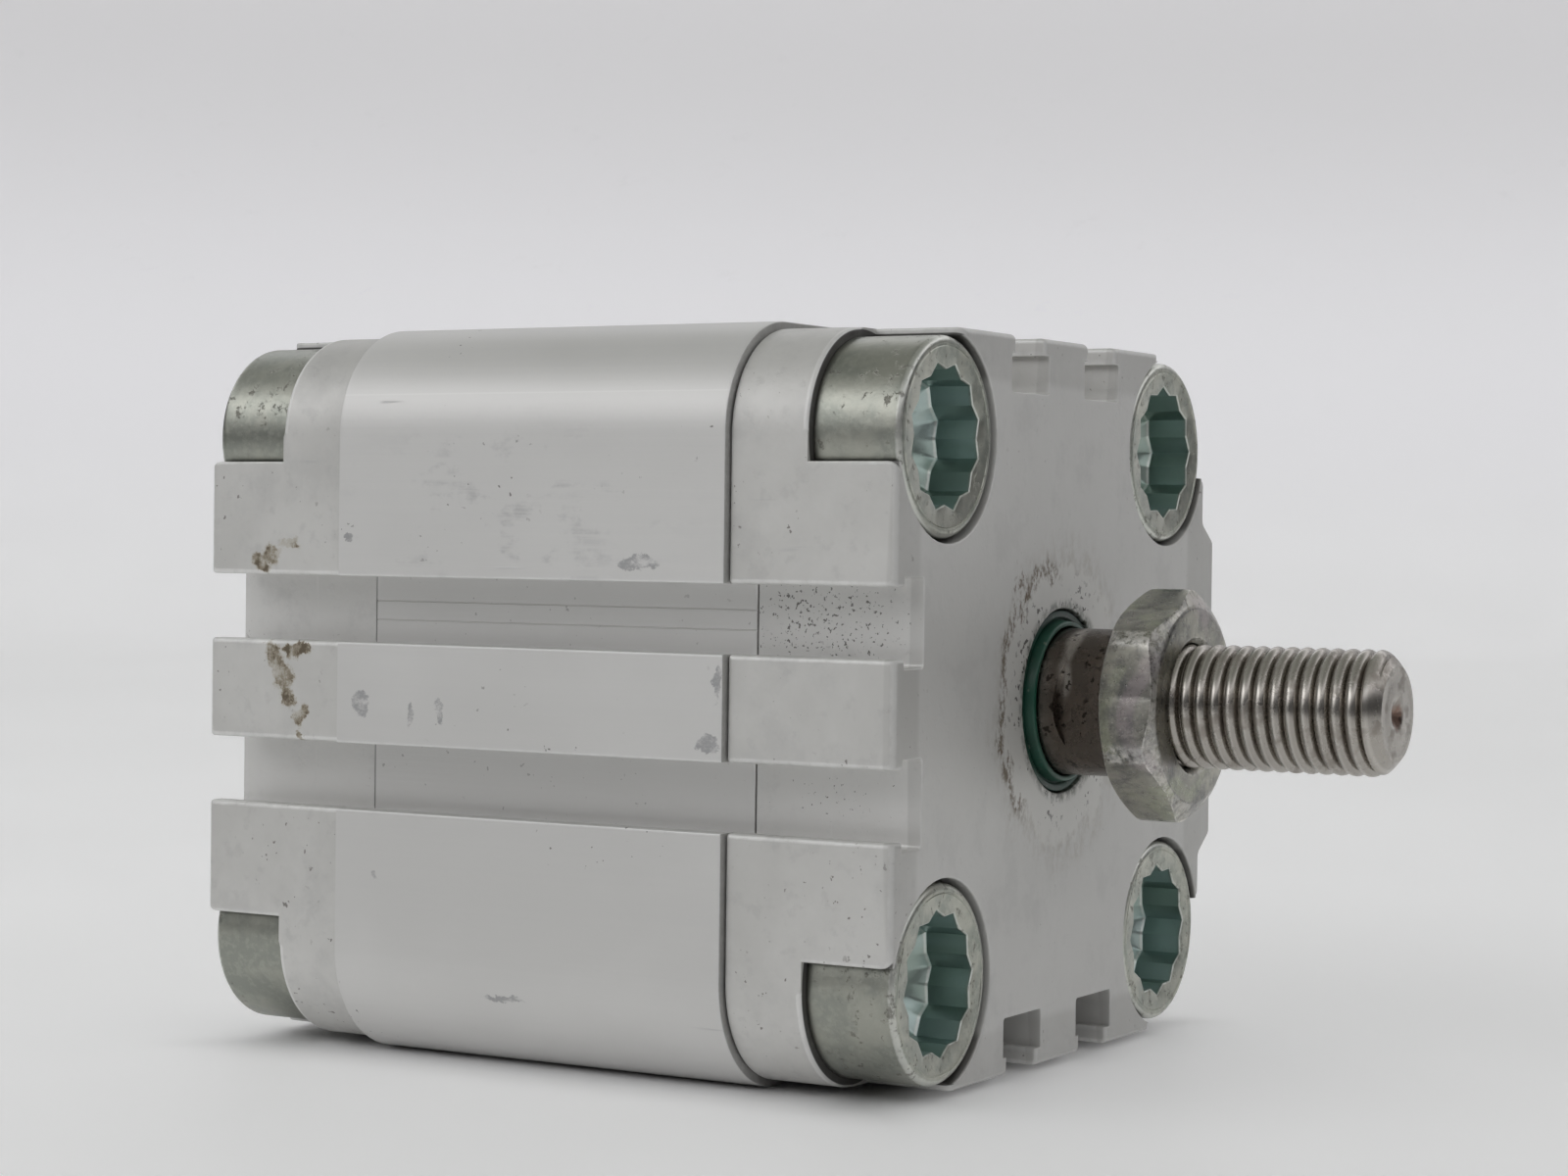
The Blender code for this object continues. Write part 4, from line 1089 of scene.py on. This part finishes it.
def zinc_screws():
    paint = Paint("zinc_screws", metallic=1.0)
    cloud = paint.noise(260.0, detail=5.0, rough=0.62)
    fine = paint.noise(1500.0, detail=4.0, rough=0.65)
    paint.base(cloud.step(0.38, 0.62), (0.36, 0.38, 0.34), (0.50, 0.505, 0.445))
    paint.coat(fine.step(0.46, 0.66), 0.45, (0.58, 0.585, 0.52))
    side = paint.from_screw().step(HEAD_RADIUS - 0.35, HEAD_RADIUS - 0.05)
    paint.coat(side, 0.40, (0.22, 0.225, 0.20))
    deep = paint.held("deep")
    facets = paint.noise(300.0, (0.15, 1, 1), detail=2.0).step(0.35, 0.65)
    paint.coat(deep, 0.9, paint.mix(facets, (0.34, 0.45, 0.41), (0.48, 0.61, 0.60)))
    wear = paint.held("wear") * fine.scale(0.6, 1.5)
    paint.coat(wear.step(0.45, 0.9), 0.55, (0.80, 0.81, 0.77))
    rust = paint.noise(900.0, shift=(3, 1, 2), detail=6.0, rough=0.75).step(0.56, 0.66)
    rust = rust * paint.noise(130.0, detail=2.0).step(0.44, 0.58)
    at_edge = paint.x.step(FRONT_FACE - 2.6, FRONT_FACE - 0.4)
    at_edge = at_edge.most(paint.x.step(REAR_FACE + 2.6, REAR_FACE + 0.4))
    pocks = paint.noise(1150.0, shift=(5, 5, 1), detail=4.0, rough=0.7) + at_edge.scale(-0.12, 0.0)
    rust = rust.most(pocks.step(0.56, 0.68)) * deep.scale(1.0, 0.10)
    paint.coat(rust, 0.62, (0.15, 0.14, 0.12))
    paint.relief(fine, 0.018)
    paint.relief(rust, 0.02)
    return paint.finish(fine.scale(0.28, 0.42) + rust * 0.2)


def passivated_nut():
    paint = Paint("passivated_nut", metallic=1.0)
    cloud = paint.noise(210.0, detail=5.0, rough=0.6, warp=0.4)
    hue = paint.noise(150.0, shift=(4, 2, 6), detail=2.0, warp=0.8)
    fine = paint.noise(1700.0, detail=5.0, rough=0.7)
    paint.base(cloud.step(0.36, 0.62), (0.27, 0.265, 0.24), (0.45, 0.438, 0.38))
    paint.coat(hue.step(0.56, 0.70), 0.35, (0.46, 0.38, 0.42))
    paint.coat(hue.step(0.46, 0.34), 0.45, (0.44, 0.47, 0.34))
    radius = paint.from_rod()
    # Painted shade: a thin broken dark ring where the face meets the chamfer cone, in place of the crease's
    # shade.
    crease_painted_shade = radius.step(7.72, 7.80) * radius.step(7.95, 7.86)
    paint.coat(crease_painted_shade * fine.step(0.30, 0.50), 0.8, (0.10, 0.10, 0.09))
    speckle = paint.held("wear").step(0.20, 0.85) * fine.step(0.40, 0.56)
    paint.coat(speckle, 0.85, (0.86, 0.83, 0.80))
    dark = paint.noise(420.0, shift=(1, 5, 2), detail=7.0, rough=0.78)
    paint.coat(dark.step(0.46, 0.64), 0.52, (0.12, 0.125, 0.135))
    crumbs = paint.noise(2100.0, shift=(7, 1, 3), detail=4.0, rough=0.7)
    paint.coat(crumbs.step(0.60, 0.68), 0.45, (0.62, 0.61, 0.56))
    paint.relief(fine, 0.020)
    paint.relief(cloud, 0.05)
    return paint.finish(fine.scale(0.20, 0.38) + speckle * 0.1)


def stainless_rod():
    paint = Paint("stainless_rod", metallic=1.0)
    cloud = paint.noise(260.0, detail=5.0, rough=0.65)
    paint.base(cloud.step(0.38, 0.62), (0.23, 0.213, 0.192), (0.31, 0.29, 0.262))
    paint.coat(paint.x.step(SHOULDER, THREAD_START), 0.5, (0.56, 0.53, 0.49))
    paint.coat(paint.held("wear").step(0.2, 0.8), 0.45, (0.74, 0.715, 0.67))
    paint.coat(paint.near((69, 0, 0), (5, 12, 12)).step(0.02, 0.35), 0.85, (0.095, 0.077, 0.064))
    rubbed = paint.noise(420.0, (1, 0.5, 0.5), shift=(8, 3, 2), detail=6.0, rough=0.7)
    polished = paint.near((67.9, -2.5, 3), (1.5, 6, 6.5)) * rubbed
    paint.coat(polished.step(0.12, 0.36), 0.65, (0.58, 0.55, 0.51))
    film = paint.noise(520.0, shift=(2, 3, 1), detail=6.0, rough=0.7).step(0.50, 0.66)
    paint.coat(film, 0.35, (0.18, 0.14, 0.11))
    seat = paint.near((69.5, -4, 0), (4.5, 9, 9)).step(0.02, 0.2)
    dots = paint.noise(1400.0, shift=(4, 1, 7), detail=2.0).step(0.60, 0.63)
    paint.coat(dots * seat * paint.noise(420.0).step(0.44, 0.54), 0.9, (0.03, 0.025, 0.02))
    rust = paint.near((ROD_END, 0.2, -0.2), (1.5, 2.2, 2.2)) * paint.noise(900.0, detail=6.0, rough=0.7)
    paint.coat(rust.step(0.18, 0.42), 0.75, (0.25, 0.13, 0.09))
    paint.relief(paint.noise(3200.0, (1, 0.03, 0.03)), 0.006)
    paint.relief(film, 0.012)
    return paint.finish(cloud.scale(0.20, 0.32) + film * 0.18)


def green_seal():
    paint = Paint("green_seal")
    cloud = paint.noise(420.0, detail=4.0)
    paint.base(cloud.step(0.35, 0.65), (0.002, 0.028, 0.017), (0.003, 0.046, 0.028))
    paint.coat(paint.held("wear"), 0.30, (0.015, 0.13, 0.08))
    paint.coat(paint.noise(1500.0, detail=4.0).step(0.60, 0.72), 0.4, (0.22, 0.24, 0.20))
    paint.relief(cloud, 0.01)
    return paint.finish(cloud.scale(0.28, 0.45))


# Finishes of the pieces inside: two colours, roughness, metallic and the scale of the mottling
INSIDE = {
    "sintered_bronze": ((0.32, 0.20, 0.09), (0.42, 0.28, 0.13), 0.5, 0.8, 500.0),
    "black_rubber": ((0.012, 0.012, 0.012), (0.028, 0.028, 0.028), 0.6, 0.0, 400.0),
    "bonded_magnet": ((0.03, 0.03, 0.034), (0.06, 0.06, 0.064), 0.55, 0.0, 700.0),
    "white_acetal": ((0.68, 0.66, 0.60), (0.76, 0.74, 0.69), 0.42, 0.0, 260.0),
    "tumbled_aluminium": ((0.55, 0.55, 0.55), (0.66, 0.66, 0.66), 0.4, 0.9, 420.0),
    "zinc_plated_steel": ((0.42, 0.44, 0.40), (0.56, 0.57, 0.52), 0.36, 1.0, 420.0),
}


def inside_finish(kind):
    """A mottled colour with a fine relief."""
    dark, light, roughness, metallic, scale = INSIDE[kind]
    paint = Paint("inside_" + kind, metallic)
    fine = paint.noise(scale * 6)
    paint.base(paint.noise(scale, detail=4.0).step(0.35, 0.65), dark, light)
    paint.relief(fine, 0.012)
    return paint.finish(fine.scale(roughness - 0.06, roughness + 0.08))


def finish_inner_nodes():
    """Gives the CAD nodes that stay, all inside the body, a material of their own kind."""
    made = {}
    for name, item in nodes.items():
        if name in replaced:
            continue
        kind = SLOT_OF[name]
        if kind not in made:
            made[kind] = inside_finish(kind)
        item.data.materials.clear()
        item.data.materials.append(made[kind])


# ------------------------------------------------------------ build the looks

rear_length = REAR_JOINT - REAR_FACE
front_length = FRONT_FACE - FRONT_JOINT
CAPS = {
    "rear_cap": (REAR_FACE, 1, rear_length, 0.05, spigot_profile(rear_length), rear_cap_dirt),
    "front_cap": (FRONT_FACE, -1, front_length, 0.32, front_hollow(front_length), front_cap_dirt_and_shade),
}
show("barrel_profile", barrel_mesh(), anodised_barrel(), "barrel")
for cap, (outer_face, *shape, cap_dirt_and_shade) in CAPS.items():
    surface = cap_mesh(cap + "_surface", outer_face, *shape)
    show(cap + "_casting", surface, tumbled_aluminium("tumbled_" + cap, outer_face, cap_dirt_and_shade), cap)
show_corner_screws(zinc_screws())
show("threaded_rod", rod_mesh(), stainless_rod(), "piston_rod")
show("hexagon_nut", nut_mesh(), passivated_nut(), "lock_nut")
show("wiper_lip_seal", wiper_mesh(), green_seal(), "rod_wiper_seal")
finish_inner_nodes()


# --------------------------------------------------------------------- studio

FLOOR = barrel_low.z
STAGE_MIDDLE = 40.0
STAGE_REACH = 1100.0
STAGE_BEND = 500.0
STAGE_WALL = 900.0
SCREEN_RADIUS = 1050.0
SCREEN_HEIGHT = 420.0
WORLD_STRENGTH = 1.52
# Painted light: the floor and the wall glow this strongly, though they are no lamps.
FLOOR_GLOW = 0.20
WALL_GLOW = 0.13
SKY_LOW = (0.97, 0.965, 0.995)
SKY_TOP = (0.20, 0.205, 0.19)

# The softbox and the camera: the directions they stand in, in degrees, and distances in metres
SOFTBOX_AZIMUTH, SOFTBOX_ELEVATION = -25, 27
SOFTBOX_AIM = Vector((0.035, 0.0, 0.0))
SOFTBOX_DISTANCE = 1.0
SOFTBOX_SIZE = (1.5, 0.6)
SOFTBOX_POWER = 2.4
CAMERA_AZIMUTH, CAMERA_ELEVATION, CAMERA_ROLL = 29.952, 0.913, 0.712
CAMERA_AIM = Vector((0.0425, -0.0063, 0.0089))
CAMERA_DISTANCE = 0.270
CAMERA_LENS = 73.73


def studio_material():
    """White, painted darker with height on the wall as painted shade, and with a faint painted glow that
    stands in for light and is off under the body as a painted contact shadow.
    """
    paint = Paint("studio_white")
    cloud = paint.noise(14.0, detail=5.0, rough=0.6)
    paint.base(cloud.step(0.3, 0.7), (0.88, 0.88, 0.885), (0.91, 0.91, 0.915))
    # Painted light and shade: the wall is painted lighter just above the floor and darker higher up, as light
    # would fall off.
    on_wall = paint.z.step(FLOOR + 2, FLOOR + 120)
    paint.coat(on_wall, 1.0, (0.93, 0.925, 0.945))
    paint.coat(paint.z.step(FLOOR + 100, FLOOR + 340), 1.0, (0.70, 0.695, 0.70))
    marks = paint.noise(60.0, (1, 0.5, 1), detail=6.0, rough=0.7)
    paint.coat(marks.step(0.60, 0.75), 0.10, (0.55, 0.55, 0.55))
    # Painted contact shadow: the glow is switched off on and just round the body's footprint.
    body_half = FRONT_FACE / 2
    along, across = abs(paint.x - body_half) - body_half, abs(paint.y) - CAP_HALF
    outside_painted_contact_shadow = along.most(across).step(-7, 5)
    paint.put(paint.shader.inputs["Emission Color"], paint.colour)
    paint.put(paint.shader.inputs["Emission Strength"], outside_painted_contact_shadow * on_wall.scale(FLOOR_GLOW, WALL_GLOW))
    return paint.finish(0.55)


def make_studio():
    """A round white floor that curves up into a wall on all sides, far from the object."""
    profile = [(radius, 0.0) for radius in (0.0, 50.0, 200.0, 500.0)]
    for c, s in quarter_turn(16):
        profile.append((STAGE_REACH + STAGE_BEND * s, STAGE_BEND * (1 - c)))
    profile.append((STAGE_REACH + STAGE_BEND, STAGE_WALL))
    shell = Shell()
    middle = (STAGE_MIDDLE, 0.0, FLOOR)
    shell.strip([ring(height, radius, 96)[:, [1, 2, 0]] + middle for radius, height in profile])
    shell.weld()
    for face in shell.bm.faces:
        if face.normal.z < 0:
            face.normal_flip()
    mesh = bpy.data.meshes.new("studio_floor")
    shell.bm.to_mesh(mesh)
    shell.bm.free()
    mesh.shade_smooth()
    mesh.materials.append(studio_material())
    link("studio_floor", mesh)


def make_dark_screen():
    """A dark curved screen across the front, out of view. Polished metal mirrors it."""
    angles = np.radians(np.linspace(-110, 152, 49))
    arc = SCREEN_RADIUS * np.column_stack([np.sin(angles), -np.cos(angles)]) + (STAGE_MIDDLE, 0.0)
    shell = Shell()
    levels = [at_x(FLOOR + height, arc)[:, [1, 2, 0]] for height in (0.0, 150.0, SCREEN_HEIGHT)]
    shell.strip(levels, closed=False)
    mesh = shell.mesh("dark_screen")
    paint = Paint("screen_cloth")
    paint.base(paint.noise(30.0, detail=4.0), (0.05, 0.05, 0.05), (0.08, 0.08, 0.08))
    mesh.materials.append(paint.finish(0.9))
    screen = link("dark_screen", mesh)
    screen.visible_camera = False


def make_world():
    world = bpy.data.worlds.new("studio_world")
    bpy.context.scene.world = world
    world.use_nodes = True
    sky = Nodes(world.node_tree)
    background = sky.tree.nodes["Background"]
    height = sky.axes(sky.value("TexCoord", {}, "Generated"))[2]
    sky.put(background.inputs["Color"], sky.mix(height.step(0.42, 0.82), SKY_LOW, SKY_TOP))
    sky.put(background.inputs["Strength"], WORLD_STRENGTH)


def direction(azimuth, elevation):
    """From the object outward. Azimuth 0 is in front of the -Y side."""
    a, e = math.radians(azimuth), math.radians(elevation)
    return Vector((math.sin(a) * math.cos(e), -math.cos(a) * math.cos(e), math.sin(e)))


def make_softbox():
    light = bpy.data.lights.new("key_softbox", "AREA")
    light.shape = "RECTANGLE"
    light.size, light.size_y = SOFTBOX_SIZE
    light.energy = SOFTBOX_POWER
    item = link("key_softbox", light)
    way = direction(SOFTBOX_AZIMUTH, SOFTBOX_ELEVATION)
    item.location = SOFTBOX_AIM + way * SOFTBOX_DISTANCE
    item.rotation_euler = way.to_track_quat("Z", "Y").to_euler()


def make_camera():
    camera = link("camera", bpy.data.cameras.new("camera"))
    camera.data.lens = CAMERA_LENS
    camera.data.sensor_width = 36.0
    camera.data.clip_start = 0.01
    camera.data.clip_end = 20.0
    back = direction(CAMERA_AZIMUTH, CAMERA_ELEVATION)
    level = (-back).to_track_quat("-Z", "Y").to_matrix().to_4x4()
    roll = Matrix.Rotation(math.radians(CAMERA_ROLL), 4, "Z")
    camera.matrix_world = Matrix.Translation(CAMERA_AIM + back * CAMERA_DISTANCE) @ level @ roll
    bpy.context.scene.camera = camera


make_studio()
make_dark_screen()
make_world()
make_softbox()
make_camera()
bpy.context.scene.view_settings.view_transform = "Standard"
